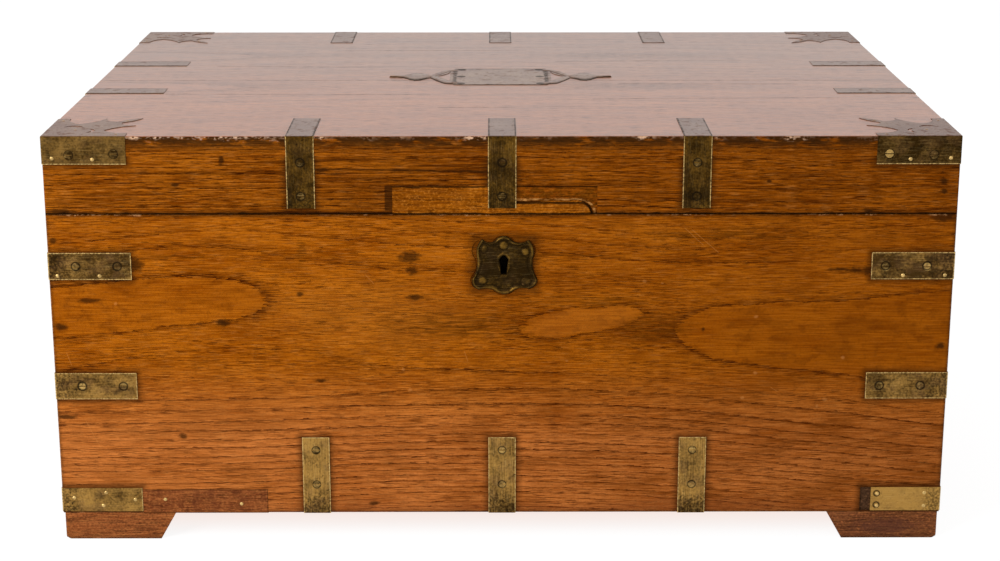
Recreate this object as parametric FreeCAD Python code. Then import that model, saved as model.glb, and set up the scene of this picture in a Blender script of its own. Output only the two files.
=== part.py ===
import FreeCAD, Part
import math
import os
from FreeCAD import Vector

os.makedirs("parts", exist_ok=True)

# Overall sizes of the chest, in millimetres
width = 820.0
depth = 580.0
foot_height = 26.5
body_height = 288.0
lid_height = 72.0
seam_gap = 0.3

# Timber
board = 20.0
bottom_board = 16.0
bottom_rebate = 10.0
plank_count = 3
lid_rail = 18.0
lid_top = 18.0
top_joint = 271.0
arris = 1.6

# Lapped dovetails at the corners of body and lid
lap = 6.0
tail_flare = 2.2
pin_tip = 7.0
body_tails = 5
lid_tails = 2

# Bracket feet
foot_inset = 1.5
foot_length = 104.0
foot_slope = 15.0
foot_board = 20.0
foot_corner = 5.0
foot_block = 34.0
foot_block_lift = 2.0

# Brass straps: bent strip let into the timber and standing a little proud
strap_thick = 1.8
strap_proud = 0.5
strap_wide = 25.2
bend_radius = 1.2
corner_leg = 75.0
upper_strap_drop = 48.0
middle_strap_drop = 162.5
lower_strap_rise = 13.5
lower_strap_wide = 23.2
short_strap_leg = 65.0
bottom_strap_rise = 75.0
bottom_strap_under = 60.0
bottom_strap_shares = (-0.21, 0.0006, 0.216)
lid_strap_drop = 66.0
lid_strap_reach = 77.0
lid_strap_shares = (-0.2195, 0.0006, 0.2134)
end_strap_shares = (-0.133, 0.133)

# Fretted corner caps and name plate of the lid
cap_leg = 75.0
cap_drop = 25.5
plate_half_length = 47.0
plate_half_width = 45.0
finial_reach = 114.5

# Slotted countersunk screws and round-headed pins
screw_head = 7.6
screw_head_deep = 2.2
screw_shank = 3.6
screw_length = 14.0
slot_wide = 1.0
slot_deep = 0.8
pin_head = 3.4
pin_head_high = 0.6
pin_shank = 1.8
pin_length = 12.0
short_pin_length = 6.0

# Where the fixings sit: (from the corner, up) on corner straps, along the leg on edge straps,
# (from the corner, down) on the sides of a cap and (along, back) on its top
upper_strap_screws = [(24.5, -1.0), (62.0, -1.0)]
upper_strap_pins = [(8.0, -9.0), (46.0, -9.0)]
middle_strap_screws = [(25.0, 0.0), (63.0, 0.5)]
lower_strap_pins = [(11.0, 2.0), (41.0, 7.0), (38.0, -6.0), (68.0, 0.0)]
short_strap_pins = [(15.0, 6.0), (15.0, -7.0), (59.0, 5.0), (59.0, -7.0)]
bottom_strap_face_screws = [(28.5,), (62.5,)]
bottom_strap_flat_screws = [(14.0,), (46.0,)]
lid_strap_face_screws = [(24.0,), (55.0,)]
lid_strap_flat_screws = [(18.0,), (60.0,)]
cap_side_screws = [(24.0, 17.0), (64.0, 16.0)]
cap_face_pins = [(9.0, 20.0), (45.0, 21.0)]
cap_end_pins = [(9.0, 14.0), (45.0, 21.0)]
cap_top_pins = [(26.0, 26.0), (66.0, 66.0), (66.0, 7.0), (7.0, 66.0)]
escutcheon_pins = [(-18.0, 15.5), (19.5, 13.0), (-18.5, -15.5), (18.0, -17.0), (0.0, 19.0)]
plate_screw_margin = 6.5

# Repairs let into the front of body and lid
patch_deep = 4.0
patch_left = -98.0
patch_middle = 1.0
patch_right = 86.0
patch_high = 26.0
patch_floor = 2.0
body_patch_long = 117.0
body_patch_high = 23.5
body_patch_deep = 6.0

# Chest lock, escutcheon and link plate
lock_x = 2.0
key_drop = 40.7
key_round = 4.9
key_slot_half = 3.0
key_slot_low = 14.0
key_rim = 2.2
key_rim_high = 0.6
escutcheon_thick = 1.8
escutcheon_proud = 1.0
case_half = 42.0
case_high = 62.0
case_deep = 12.0
case_wall = 2.0
case_flange = 12.0
cap_plate = 1.2
selvedge_thick = 2.5
selvedge_deep = 16.0
bolt_travel = 9.0
bolt_play = 0.3
bolt_drop = 24.0
bolt_high = 12.0
stud_radius = 2.5
stud_play = 0.05
finger_thick = 3.6
finger_high = 6.0
finger_drop = 6.0
finger_step = 1.0
post_wide = 6.0
talon_half = 5.0
talon_high = 3.0
spring_thick = 1.0
spring_long = 28.0
spring_foot = 4.0
spring_foot_high = 5.0
spring_clear = 1.0
lug_spread = 20.0
lug_thick = 5.0
lug_wide = 7.6
lug_hang = 16.5
lug_play = 0.6
link_thick = 2.5
link_half = 40.0
link_margin = 5.0

# Butt hinges with stops that hold the open lid
hinge_inset = 120.0
hinge_long = 76.0
hinge_leaf = 2.5
hinge_leaf_wide = 17.0
knuckle_radius = 4.0
knuckle_gap = 0.3
hinge_pin_radius = 2.0
hinge_pin_play = 0.03
stop_reach = 3.0
stop_lug_angle = 50.0
stop_lug_span = 20.0
stop_play_angle = 2.0
lid_open_angle = 100.0

# Carrying handles on the two ends
handle_drop = 92.0
handle_plate_long = 150.0
handle_plate_high = 36.0
handle_plate_thick = 2.5
handle_standoff = 10.0
post_half = 5.0
post_radius = 6.5
handle_half = 58.0
handle_fall = 50.0
bail_radius = 3.5
bail_corner = 12.0
knob_radius = 5.0
pivot_radius = 3.0
pivot_play = 0.05
grip_radius = 6.0
grip_half = 34.0
side_play = 0.4

# Levels and faces worked out from the sizes above
body_base = foot_height
rim = body_base + body_height
lid_base = rim + seam_gap
lid_crown = rim + lid_height
rail_crown = lid_crown - lid_top
half_width = width / 2
half_depth = depth / 2
front = -half_depth
left = -half_width
hinge_x = half_width - hinge_inset
hinge_y = half_depth + knuckle_radius + knuckle_gap
hinge_z = rim + seam_gap / 2
lock_inner = front + board
key_z = rim - key_drop
lug_y = lock_inner - (case_wall + case_deep - cap_plate) / 2
handle_z = rim - handle_drop
bottom_strap_places = [share * width for share in bottom_strap_shares]
lid_strap_places = [share * width for share in lid_strap_shares]
end_strap_places = [share * depth for share in end_strap_shares]

ALONG_X = Vector(1, 0, 0)
ALONG_Y = Vector(0, 1, 0)
ALONG_Z = Vector(0, 0, 1)
ORIGIN = Vector(0, 0, 0)


def block(x0, x1, y0, y1, z0, z1):
    """Box between two opposite corners given in any order."""
    low = Vector(min(x0, x1), min(y0, y1), min(z0, z1))
    return Part.makeBox(abs(x1 - x0), abs(y1 - y0), abs(z1 - z0), low)


def joined(pieces):
    """One solid out of pieces that touch or overlap."""
    return pieces[0].fuse(pieces[1:]).removeSplitter()


def soften(shape, radius, chosen):
    """Rounds the edges whose middle point passes the test."""
    return shape.makeFillet(radius, [edge for edge in shape.Edges if chosen(edge.CenterOfMass)])


def flat_face(start, steps):
    """Face bounded by straight steps (end point) and arcs (point passed through, end point)."""
    edges = []
    for step in steps:
        if len(step) == 1:
            edges.append(Part.makeLine(start, step[-1]))
        else:
            edges.append(Part.Arc(start, step[0], step[-1]).toShape())
        start = step[-1]
    return Part.Face(Part.Wire(edges))


def mirrored(shape, side, face):
    """Carries a piece made at the front left corner to another corner of the chest."""
    if side == "right":
        shape = shape.mirror(ORIGIN, ALONG_X)
    if face == "back":
        shape = shape.mirror(ORIGIN, ALONG_Y)
    return shape


def turned(shape, angle, axis=ALONG_Z):
    """Copy of a shape turned about an axis through the origin."""
    copy = shape.copy()
    copy.rotate(ORIGIN, axis, angle)
    return copy


def moved(shape, x, y, z):
    """Copy of a shape shifted to a new place."""
    return shape.translated(Vector(x, y, z))


def driven(fixing, point, into):
    """Fixing made along +Z with its head at the origin, driven in at a point."""
    turn = FreeCAD.Rotation(ALONG_Z, into)
    copy = fixing.copy()
    copy.Placement = FreeCAD.Placement(point, turn)
    return copy


def make_screw():
    """Wood screw: countersunk slotted head, shank and point, head top at the origin."""
    taper = Part.makeCone(screw_head / 2, screw_shank / 2, screw_head_deep)
    straight = screw_length - screw_shank
    shank = Part.makeCylinder(screw_shank / 2, straight)
    point = Part.makeCone(screw_shank / 2, 0.0, screw_shank, Vector(0, 0, straight))
    slot = block(-screw_head, screw_head, -slot_wide / 2, slot_wide / 2, 0, slot_deep)
    return joined([taper, shank, point]).cut(slot)


def make_pin(length):
    """Round brass pin: a low domed head above the origin and a shank below it."""
    rise = pin_head_high
    dome_radius = (pin_head ** 2 / 4 + rise ** 2) / (2 * rise)
    ball = Part.makeSphere(dome_radius, Vector(0, 0, dome_radius - rise))
    dome = ball.common(Part.makeCylinder(pin_head / 2, rise, Vector(0, 0, -rise)))
    return joined([dome, Part.makeCylinder(pin_shank / 2, length)])


SCREW = make_screw()
PIN = make_pin(pin_length)
SHORT_PIN = make_pin(short_pin_length)


class Fitting:
    """A metal piece with the screws and pins that hold it to the timber."""

    def __init__(self, blank, screws=(), pins=()):
        self.blank = blank
        self.screws = list(screws)
        self.pins = list(pins)

    def carried(self, change):
        screws = [change(screw) for screw in self.screws]
        return Fitting(change(self.blank), screws, [change(pin) for pin in self.pins])

    def metal(self):
        fixings = self.screws + self.pins
        return self.blank.cut(fixings) if fixings else self.blank

    def recess(self):
        return [self.blank] + self.screws + self.pins


def screws_at(places, point_of, into):
    """Screws at a list of places, each slot left at its own angle."""
    return [
        driven(turned(SCREW, 37 * index + 20), point_of(*place), into)
        for index, place in enumerate(places)
    ]


def pins_at(places, point_of, into, pin=PIN):
    """Pins at a list of places."""
    return [driven(pin, point_of(*place), into) for place in places]


def upright_strap(z, wide, face_leg, end_leg, screw_places, pin_places):
    """Strap bent round the front left corner of the body; places are (from corner, up), and
    the fixings of the end leg lie upside down so that they miss those of the face leg."""
    x_out = left - strap_proud
    y_out = front - strap_proud
    low = z - wide / 2
    high = z + wide / 2
    face = block(x_out, left + face_leg, y_out, y_out + strap_thick, low, high)
    end = block(x_out, x_out + strap_thick, y_out, front + end_leg, low, high)
    blank = soften(
        joined([face, end]), bend_radius,
        lambda p: abs(p.x - x_out) < 0.01 and abs(p.y - y_out) < 0.01,
    )

    def on_face(across, up):
        return Vector(left + across, y_out, z + up)

    def on_end(across, up):
        return Vector(x_out, front + across, z - up)

    screws = screws_at(screw_places, on_face, ALONG_Y) + screws_at(screw_places, on_end, ALONG_X)
    pins = pins_at(pin_places, on_face, ALONG_Y) + pins_at(pin_places, on_end, ALONG_X)
    return Fitting(blank, screws, pins)


def edge_strap(rise, face_leg, flat_leg, face_screws, flat_screws):
    """Strap bent round a level edge through the origin: one leg on the front face, going up
    (rise 1) or down (rise -1), and one leg going back along the top or the underside."""
    half = strap_wide / 2
    out = -strap_proud
    face = block(-half, half, out, out + strap_thick, rise * out, rise * face_leg)
    flat = block(-half, half, out, flat_leg, rise * out, rise * (out + strap_thick))
    blank = soften(
        joined([face, flat]), bend_radius,
        lambda p: abs(p.y - out) < 0.01 and abs(p.z - rise * out) < 0.01,
    )
    screws = screws_at(face_screws, lambda run: Vector(0, out, rise * run), ALONG_Y)
    screws += screws_at(flat_screws, lambda run: Vector(0, run, rise * out), ALONG_Z * rise)
    return Fitting(blank, screws)


def along_front(fitting, x, z):
    """Carries an edge strap to the front edge at a height."""
    return fitting.carried(lambda shape: moved(shape, x, front, z))


def along_end(fitting, y, z):
    """Carries an edge strap to the left end at a height."""
    return fitting.carried(lambda shape: moved(turned(shape, -90), left, y, z))


def to_side(fitting, side, face):
    """Carries a fitting from the front left to another side of the chest."""
    return fitting.carried(lambda shape: mirrored(shape, side, face))


def tails(thick, low, high, count):
    """Dovetails on the front edge of the left end: narrow at the root, wide at the lap."""
    pitch = (high - low) / count
    tip_half = (pitch - pin_tip) / 2
    root_half = tip_half - tail_flare
    root_y = front + thick
    tip_y = front + lap
    made = []
    for index in range(count):
        z = low + pitch * (index + 0.5)
        corners = [
            Vector(left, root_y, z - root_half),
            Vector(left, tip_y, z - tip_half),
            Vector(left, tip_y, z + tip_half),
            Vector(left, root_y, z + root_half),
        ]
        face = Part.Face(Part.makePolygon(corners + corners[:1]))
        made.append(face.extrude(Vector(thick, 0, 0)))
    return made


def frame_boards(thick, low, high, count, worn):
    """Four boards of a box frame, the ends lapped into front and back with dovetails. Worn
    lists the heights of the level outer edges that are rounded with the upright ones."""
    def rounded(height):
        return low < height < high or any(abs(height - level) < 0.01 for level in worn)

    face = block(left, -left, front, front + thick, low, high)
    face = soften(face, arris, lambda p: abs(p.y - front) < 0.01 and rounded(p.z))
    end = block(left, left + thick, front + thick, -front - thick, low, high)
    end = soften(
        end, arris, lambda p: abs(p.x - left) < 0.01 and abs(p.y) < 0.01 and rounded(p.z)
    )
    left_tails = tails(thick, low, high, count)
    all_tails = left_tails + [mirrored(tail, "right", "front") for tail in left_tails]
    face = face.cut(all_tails)
    end = joined([end] + left_tails + [mirrored(tail, "left", "back") for tail in left_tails])
    return {
        "front": face,
        "back": mirrored(face, "left", "back"),
        "left": end,
        "right": mirrored(end, "right", "front"),
    }


def bottom_planks():
    """Bottom planks lying side by side in the rebate of the four body boards."""
    reach_x = half_width - board + bottom_rebate
    reach_y = half_depth - board + bottom_rebate
    plank = 2 * reach_y / plank_count
    return [
        block(
            -reach_x, reach_x, -reach_y + plank * index, -reach_y + plank * (index + 1),
            body_base, body_base + bottom_board,
        )
        for index in range(plank_count)
    ]


def foot_pieces():
    """Bracket foot at the front left: mitred face and return, and the block glued behind."""
    cut = foot_corner * (1 - math.sqrt(0.5))
    profile = flat_face(
        Vector(0, 0, foot_height),
        [
            (Vector(0, 0, foot_corner),),
            (Vector(cut, 0, cut), Vector(foot_corner, 0, 0)),
            (Vector(foot_length - foot_slope, 0, 0),),
            (Vector(foot_length, 0, foot_height),),
            (Vector(0, 0, foot_height),),
        ],
    )
    mitre_corners = [ORIGIN, Vector(0, foot_board, 0), Vector(foot_board, foot_board, 0), ORIGIN]
    mitre = Part.Face(Part.makePolygon(mitre_corners)).extrude(Vector(0, 0, foot_height))
    face = profile.extrude(Vector(0, foot_board, 0)).cut(mitre)
    side = face.mirror(ORIGIN, Vector(1, -1, 0))
    block_end = foot_board + foot_block
    glue_block = block(
        foot_board, block_end, foot_board, block_end, foot_block_lift, foot_height
    )
    place = (left + foot_inset, front + foot_inset, 0)
    return [moved(piece, *place) for piece in (face, side, glue_block)]


def fretted_face():
    """Top leaf of a corner cap: two plain outer edges, and scrolled inner edges that end in a
    pointed leaf on the diagonal, with two crescents pierced through it."""
    out = -strap_proud
    half_outline = [
        (Vector(cap_leg, out, 0),),
        (Vector(cap_leg, 12, 0),),
        (Vector(62, 14, 0), Vector(52, 24, 0)),
        (Vector(62, 37, 0), Vector(77, 45, 0)),
        (Vector(66, 49, 0), Vector(62, 58, 0)),
        (Vector(71, 66, 0), Vector(78, 78, 0)),
    ]

    def swapped(point):
        return Vector(point.y, point.x, 0)

    steps = list(half_outline)
    for index in range(len(half_outline) - 1, -1, -1):
        before = half_outline[index - 1][-1] if index else Vector(out, out, 0)
        through = [swapped(point) for point in half_outline[index][:-1]]
        steps.append(tuple(through + [swapped(before)]))
    face = flat_face(Vector(out, out, 0), steps)
    crescent = flat_face(
        Vector(37, 13, 0),
        [(Vector(44, 22, 0), Vector(37, 31, 0)), (Vector(40.5, 22, 0), Vector(37, 13, 0))],
    )
    return face.cut([crescent, crescent.mirror(ORIGIN, Vector(1, -1, 0))])


def corner_cap():
    """Three-sided brass cap on the front left corner of the lid."""
    x_out = left - strap_proud
    y_out = front - strap_proud
    z_out = lid_crown + strap_proud
    low = lid_crown - cap_drop
    face = block(x_out, left + cap_leg, y_out, y_out + strap_thick, low, z_out)
    end = block(x_out, x_out + strap_thick, y_out, front + cap_leg, low, z_out)
    leaf = moved(fretted_face().extrude(Vector(0, 0, strap_thick)), left, front, z_out - strap_thick)
    blank = soften(
        joined([face, end, leaf]), bend_radius,
        lambda p: (abs(p.x - x_out) < 0.01) + (abs(p.y - y_out) < 0.01)
        + (abs(p.z - z_out) < 0.01) == 2,
    )

    def on_face(across, down):
        return Vector(left + across, y_out, lid_crown - down)

    def on_end(across, down):
        return Vector(x_out, front + across, lid_crown - down)

    def on_top(across, back):
        return Vector(left + across, front + back, z_out)

    screws = screws_at(cap_side_screws, on_face, ALONG_Y)
    screws += screws_at(cap_side_screws, on_end, ALONG_X)
    pins = pins_at(cap_face_pins, on_face, ALONG_Y)
    pins += pins_at(cap_end_pins, on_end, ALONG_X)
    pins += pins_at(cap_top_pins, on_top, -ALONG_Z)
    return Fitting(blank, screws, pins)


def name_plate():
    """Bare square plate let into the lid top, with a pierced pointed finial at each end."""
    edge = plate_half_length
    side = plate_half_width
    neck = edge + 22
    bulb = neck + 13
    right_half = [
        (Vector(edge, -side, 0),),
        (Vector(edge + 15, -14, 0), Vector(neck, -3.5, 0)),
        (Vector(bulb, -11, 0), Vector(bulb + 13, -3, 0)),
        (Vector(finial_reach, 0, 0),),
        (Vector(bulb + 13, 3, 0),),
        (Vector(bulb, 11, 0), Vector(neck, 3.5, 0)),
        (Vector(edge + 15, 14, 0), Vector(edge, side, 0)),
    ]
    left_half = [tuple(point * -1 for point in step) for step in right_half]
    face = flat_face(Vector(-edge, -side, 0), right_half + left_half)
    light = flat_face(
        Vector(edge + 5, -side + 16, 0),
        [
            (Vector(edge + 10, -13, 0), Vector(neck - 5, -4, 0)),
            (Vector(neck - 5, 4, 0),),
            (Vector(edge + 10, 13, 0), Vector(edge + 5, side - 16, 0)),
            (Vector(edge + 5, -side + 16, 0),),
        ],
    )
    face = face.cut([light, turned(light, 180)])
    blank = moved(
        face.extrude(Vector(0, 0, strap_thick)), 0, 0, lid_crown + strap_proud - strap_thick
    )
    reach = edge - plate_screw_margin
    spread = side - plate_screw_margin
    places = [(x * reach, y * spread) for x in (-1, 1) for y in (-1, 0, 1)]
    top = lid_crown + strap_proud
    return Fitting(blank, screws_at(places, lambda x, y: Vector(x, y, top), -ALONG_Z))


def key_face(grow):
    """Keyhole outline about its round centre in the XY plane, grown by a margin."""
    radius = key_round + grow
    half = key_slot_half + grow
    drop = -key_slot_low - grow
    shoulder = math.sqrt(radius ** 2 - half ** 2)
    return flat_face(
        Vector(-half, drop, 0),
        [
            (Vector(half, drop, 0),),
            (Vector(half, -shoulder, 0),),
            (Vector(0, radius, 0), Vector(-half, -shoulder, 0)),
            (Vector(-half, drop, 0),),
        ],
    )


def on_front(shape, x, z, y):
    """Stands a shape made flat in XY on the front: its Y goes up and its Z comes forward."""
    return moved(turned(shape, 90, ALONG_X), x, y, z)


def key_bore(grow=0.0):
    """Keyhole cut that runs through escutcheon, board and lock cap."""
    reach = board + escutcheon_thick
    return on_front(key_face(grow).extrude(Vector(0, 0, reach)), lock_x, key_z, lock_inner - case_wall)


def escutcheon():
    """Cusped keyhole plate with a raised rim round the keyhole."""
    half_outline = [
        (Vector(7, 26.4, 0), Vector(10, 22, 0)),
        (Vector(16, 20.5, 0), Vector(23, 24, 0)),
        (Vector(28.5, 17.5, 0), Vector(27, 8, 0)),
        (Vector(25.2, 0.5, 0), Vector(27, -7, 0)),
        (Vector(30, -16, 0), Vector(22.5, -22, 0)),
        (Vector(15.5, -20.8, 0), Vector(9.5, -23.5, 0)),
        (Vector(5.5, -26.6, 0), Vector(0, -28, 0)),
    ]
    start = Vector(0, 27.5, 0)

    def flipped(point):
        return Vector(-point.x, point.y, 0)

    steps = list(half_outline)
    for index in range(len(half_outline) - 1, -1, -1):
        before = half_outline[index - 1][-1] if index else start
        steps.append((flipped(half_outline[index][0]), flipped(before)))
    centre_drop = 7.0
    plate = flat_face(start, steps).extrude(Vector(0, 0, escutcheon_thick))
    rim_face = moved(key_face(key_rim), 0, centre_drop, 0)
    blank = joined([plate, rim_face.extrude(Vector(0, 0, escutcheon_thick + key_rim_high))])
    back = front - escutcheon_proud + escutcheon_thick
    blank = on_front(blank, lock_x, key_z - centre_drop, back)
    pins = pins_at(
        escutcheon_pins,
        lambda x, up: Vector(lock_x + x, front - escutcheon_proud, key_z - centre_drop + up),
        ALONG_Y, SHORT_PIN,
    )
    return Fitting(blank, pins=pins)


def lock_case():
    """Open box of the lock: back plate with flanges, walls, studs and slotted selvedge."""
    low = rim - case_high
    flange = case_half + case_flange
    cap_face = lock_inner - case_deep + cap_plate
    plate_face = lock_inner - case_wall
    back = block(lock_x - flange, lock_x + flange, plate_face, lock_inner, low, rim)
    shell = block(lock_x - case_half, lock_x + case_half, cap_face, plate_face, low, rim)
    inner_half = case_half - case_wall
    room = block(
        lock_x - inner_half, lock_x + inner_half, cap_face, plate_face,
        low + case_wall, rim - selvedge_thick,
    )
    selvedge = block(
        lock_x - flange, lock_x + flange, lock_inner - selvedge_deep, lock_inner,
        rim - selvedge_thick, rim,
    )
    case = joined([back, shell.cut(room), selvedge])
    studs = [
        Part.makeCylinder(
            stud_radius, plate_face - cap_face, Vector(lock_x + x, cap_face, bolt_slot_z()), ALONG_Y
        )
        for x in stud_places()
    ]
    slots = [
        block(
            lock_x + x - lug_thick / 2 - lug_play, lock_x + x + lug_thick / 2 + lug_play,
            lug_y - lug_wide / 2 - lug_play, lug_y + lug_wide / 2 + lug_play,
            rim - selvedge_thick, rim,
        )
        for x in (-lug_spread, lug_spread)
    ]
    case = joined([case] + studs).cut(slots)
    screw_places = [
        (x * (case_half + case_flange / 2), drop) for x in (-1, 1) for drop in (14, case_high - 10)
    ]
    screws = screws_at(
        screw_places, lambda x, drop: Vector(lock_x + x, lock_inner, rim - drop), -ALONG_Y
    )
    return Fitting(case, screws)


def lock_hollow():
    """Space cut in the front board for the lock: case, flanges and selvedge."""
    low = rim - case_high
    flange = case_half + case_flange
    return [
        block(lock_x - case_half, lock_x + case_half, lock_inner - case_deep, lock_inner, low, rim),
        block(lock_x - flange, lock_x + flange, lock_inner - case_wall, lock_inner, low, rim),
        block(
            lock_x - flange, lock_x + flange, lock_inner - selvedge_deep, lock_inner,
            rim - selvedge_thick, rim,
        ),
    ]


def stud_places():
    """Where the two studs that guide the bolt stand, from the lock's middle."""
    return (-22.0, 14.0)


def bolt_slot_z():
    """Height of the guide slots of the bolt."""
    return rim - bolt_drop - bolt_high / 2 + talon_high / 2


def lock_cap():
    """Cover of the lock case, with the keyhole through it."""
    cap = block(
        lock_x - case_half, lock_x + case_half, lock_inner - case_deep,
        lock_inner - case_deep + cap_plate, rim - case_high, rim - selvedge_thick,
    )
    return cap.cut(key_bore())


def lock_bolt():
    """Sliding bolt, drawn back: a slotted bar with two fingers that enter the link lugs."""
    top = rim - bolt_drop
    inner = lock_inner - case_wall - bolt_play
    outer = lock_inner - case_deep + cap_plate + bolt_play
    post_end = lug_thick / 2 + finger_step + bolt_travel
    finger_end = lug_thick / 2 + finger_step
    bar_left = -lug_spread - post_end - post_wide
    bar_right = stud_places()[1] + 2 * stud_radius + bolt_travel / 2
    pieces = [block(lock_x + bar_left, lock_x + bar_right, outer, inner, top - bolt_high, top)]
    finger_top = rim - finger_drop
    for x in (-lug_spread, lug_spread):
        post_right = lock_x + x - post_end
        y0 = lug_y - finger_thick / 2
        y1 = lug_y + finger_thick / 2
        pieces.append(block(post_right - post_wide, post_right, y0, y1, top, finger_top))
        pieces.append(
            block(post_right, lock_x + x - finger_end, y0, y1, finger_top - finger_high, finger_top)
        )
    bolt = joined(pieces)
    groove = stud_radius + stud_play
    for x in stud_places():
        right = lock_x + x
        span = block(
            right - bolt_travel, right, outer, inner, bolt_slot_z() - groove, bolt_slot_z() + groove
        )
        ends = [
            Part.makeCylinder(groove, inner - outer, Vector(place, outer, bolt_slot_z()), ALONG_Y)
            for place in (right - bolt_travel, right)
        ]
        bolt = bolt.cut([span] + ends)
    low = top - bolt_high
    talon = block(lock_x - talon_half, lock_x + talon_half, outer, inner, low, low + talon_high)
    return bolt.cut(talon)


def lock_spring():
    """Flat spring under the bolt, held in a foot against the wall of the case."""
    top = rim - bolt_drop - bolt_high - bolt_play
    wall = lock_x - case_half + case_wall
    inner = lock_inner - case_wall - spring_clear
    outer = lock_inner - case_deep + cap_plate + spring_clear
    leaf = block(wall, wall + spring_long, outer, inner, top - spring_thick, top)
    foot = block(wall, wall + spring_foot, outer, inner, top - spring_foot_high, top)
    return joined([leaf, foot])


def link_plate():
    """Plate under the lid's front rail, with two eyed lugs that drop into the lock."""
    back = front + lid_rail
    plate = block(
        lock_x - link_half, lock_x + link_half, front + link_margin, back,
        lid_base, lid_base + link_thick,
    )
    pieces = [plate]
    eyes = []
    for x in (-lug_spread, lug_spread):
        x0 = lock_x + x - lug_thick / 2
        x1 = lock_x + x + lug_thick / 2
        pieces.append(
            block(x0, x1, lug_y - lug_wide / 2, lug_y + lug_wide / 2, rim - lug_hang, lid_base)
        )
        eye_half = finger_thick / 2 + lug_play
        eye_low = rim - finger_drop - finger_high - lug_play
        eyes.append(
            block(x0, x1, lug_y - eye_half, lug_y + eye_half, eye_low, rim - finger_drop + lug_play)
        )
    blank = joined(pieces).cut(eyes)
    middle = (front + link_margin + back) / 2
    screws = screws_at(
        [(-link_half + 7,), (link_half - 7,)],
        lambda x: Vector(lock_x + x, middle, lid_base), ALONG_Z,
    )
    return Fitting(blank, screws)


def ring_sector(x0, x1, inner, outer, angle, span):
    """Part of a ring round the hinge axis, by its lowest angle up from +Y and its span."""
    def spot(radius, degrees):
        turn = math.radians(degrees)
        return Vector(x0, hinge_y + radius * math.cos(turn), hinge_z + radius * math.sin(turn))

    high = angle + span
    middle = angle + span / 2
    face = flat_face(
        spot(inner, angle),
        [
            (spot(outer, angle),),
            (spot(outer, middle), spot(outer, high)),
            (spot(inner, high),),
            (spot(inner, middle), spot(inner, angle)),
        ],
    )
    return face.extrude(Vector(x1 - x0, 0, 0))


def hinge_knuckle(x0, x1, leaf_low):
    """One barrel of a hinge with the tongue that joins it to its leaf."""
    barrel = Part.makeCylinder(knuckle_radius, x1 - x0, Vector(x0, hinge_y, hinge_z), ALONG_X)
    tongue = block(x0, x1, half_depth - 1, hinge_y, leaf_low, leaf_low + hinge_leaf)
    return joined([barrel, tongue])


def hinge(x):
    """Butt hinge at a place along the back: body leaf, lid leaf and pin."""
    start = x - hinge_long / 2
    third = (hinge_long - 2 * knuckle_gap) / 3
    spans = [(start + index * (third + knuckle_gap)) for index in range(3)]
    end = start + hinge_long
    bore = Part.makeCylinder(
        hinge_pin_radius + hinge_pin_play, hinge_long, Vector(start, hinge_y, hinge_z), ALONG_X
    )
    leaf_front = half_depth - hinge_leaf_wide
    sunk = 0.8 * knuckle_radius
    lug_tip = knuckle_radius + stop_reach
    bar_top = stop_lug_angle - lid_open_angle - stop_play_angle
    bar_low = bar_top - stop_lug_span
    body_low = rim - hinge_leaf
    body = [block(start, end, leaf_front, half_depth, body_low, rim)]
    for place in (spans[0], spans[2]):
        body.append(hinge_knuckle(place, place + third, body_low))
        body.append(ring_sector(place, place + third, sunk, lug_tip, bar_low, stop_lug_span))
    body.append(
        ring_sector(start, end, knuckle_radius + knuckle_gap, lug_tip, bar_low, stop_lug_span)
    )
    lid = [
        block(start, end, leaf_front, half_depth, lid_base, lid_base + hinge_leaf),
        hinge_knuckle(spans[1], spans[1] + third, lid_base),
        ring_sector(spans[1], spans[1] + third, sunk, lug_tip, stop_lug_angle, stop_lug_span),
    ]
    middle = half_depth - hinge_leaf_wide / 2
    places = [(x - hinge_long / 3,), (x,), (x + hinge_long / 3,)]
    body_screws = screws_at(places, lambda spot: Vector(spot, middle, rim), -ALONG_Z)
    lid_screws = screws_at(places, lambda spot: Vector(spot, middle, lid_base), ALONG_Z)
    pin = Part.makeCylinder(hinge_pin_radius, hinge_long, Vector(start, hinge_y, hinge_z), ALONG_X)
    return (
        Fitting(joined(body).cut(bore), body_screws),
        Fitting(joined(lid).cut(bore), lid_screws),
        pin,
    )


def handle_post_y():
    """Middle of a handle post, inside the arm of the bail."""
    return handle_half - knob_radius - side_play - post_half


def handle_plate():
    """Plate on the left end with two bored posts for the bail."""
    out = left - strap_proud
    axis_x = left - handle_standoff
    half = handle_plate_long / 2
    high = handle_plate_high / 2
    plate = block(out, out + handle_plate_thick, -half, half, handle_z - high, handle_z + high)
    pieces = [soften(plate, high / 3, lambda p: abs(abs(p.y) - half) < 0.01 and
                     abs(abs(p.z - handle_z) - high) < 0.01)]
    bores = []
    for side in (-1, 1):
        y0 = side * handle_post_y() - post_half
        y1 = side * handle_post_y() + post_half
        pieces.append(
            block(axis_x, out + 0.1, y0, y1, handle_z - post_radius, handle_z + post_radius)
        )
        start = Vector(axis_x, y0, handle_z)
        pieces.append(Part.makeCylinder(post_radius, 2 * post_half, start, ALONG_Y))
        bores.append(
            Part.makeCylinder(pivot_radius + pivot_play, 2 * post_half, start, ALONG_Y)
        )
    blank = joined(pieces).cut(bores)
    places = [
        (side * (half - 8), up) for side in (-1, 1) for up in (-high / 2, high / 2)
    ] + [(-20, 0), (20, 0)]
    screws = screws_at(places, lambda y, up: Vector(out, y, handle_z + up), ALONG_X)
    return Fitting(blank, screws)


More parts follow.
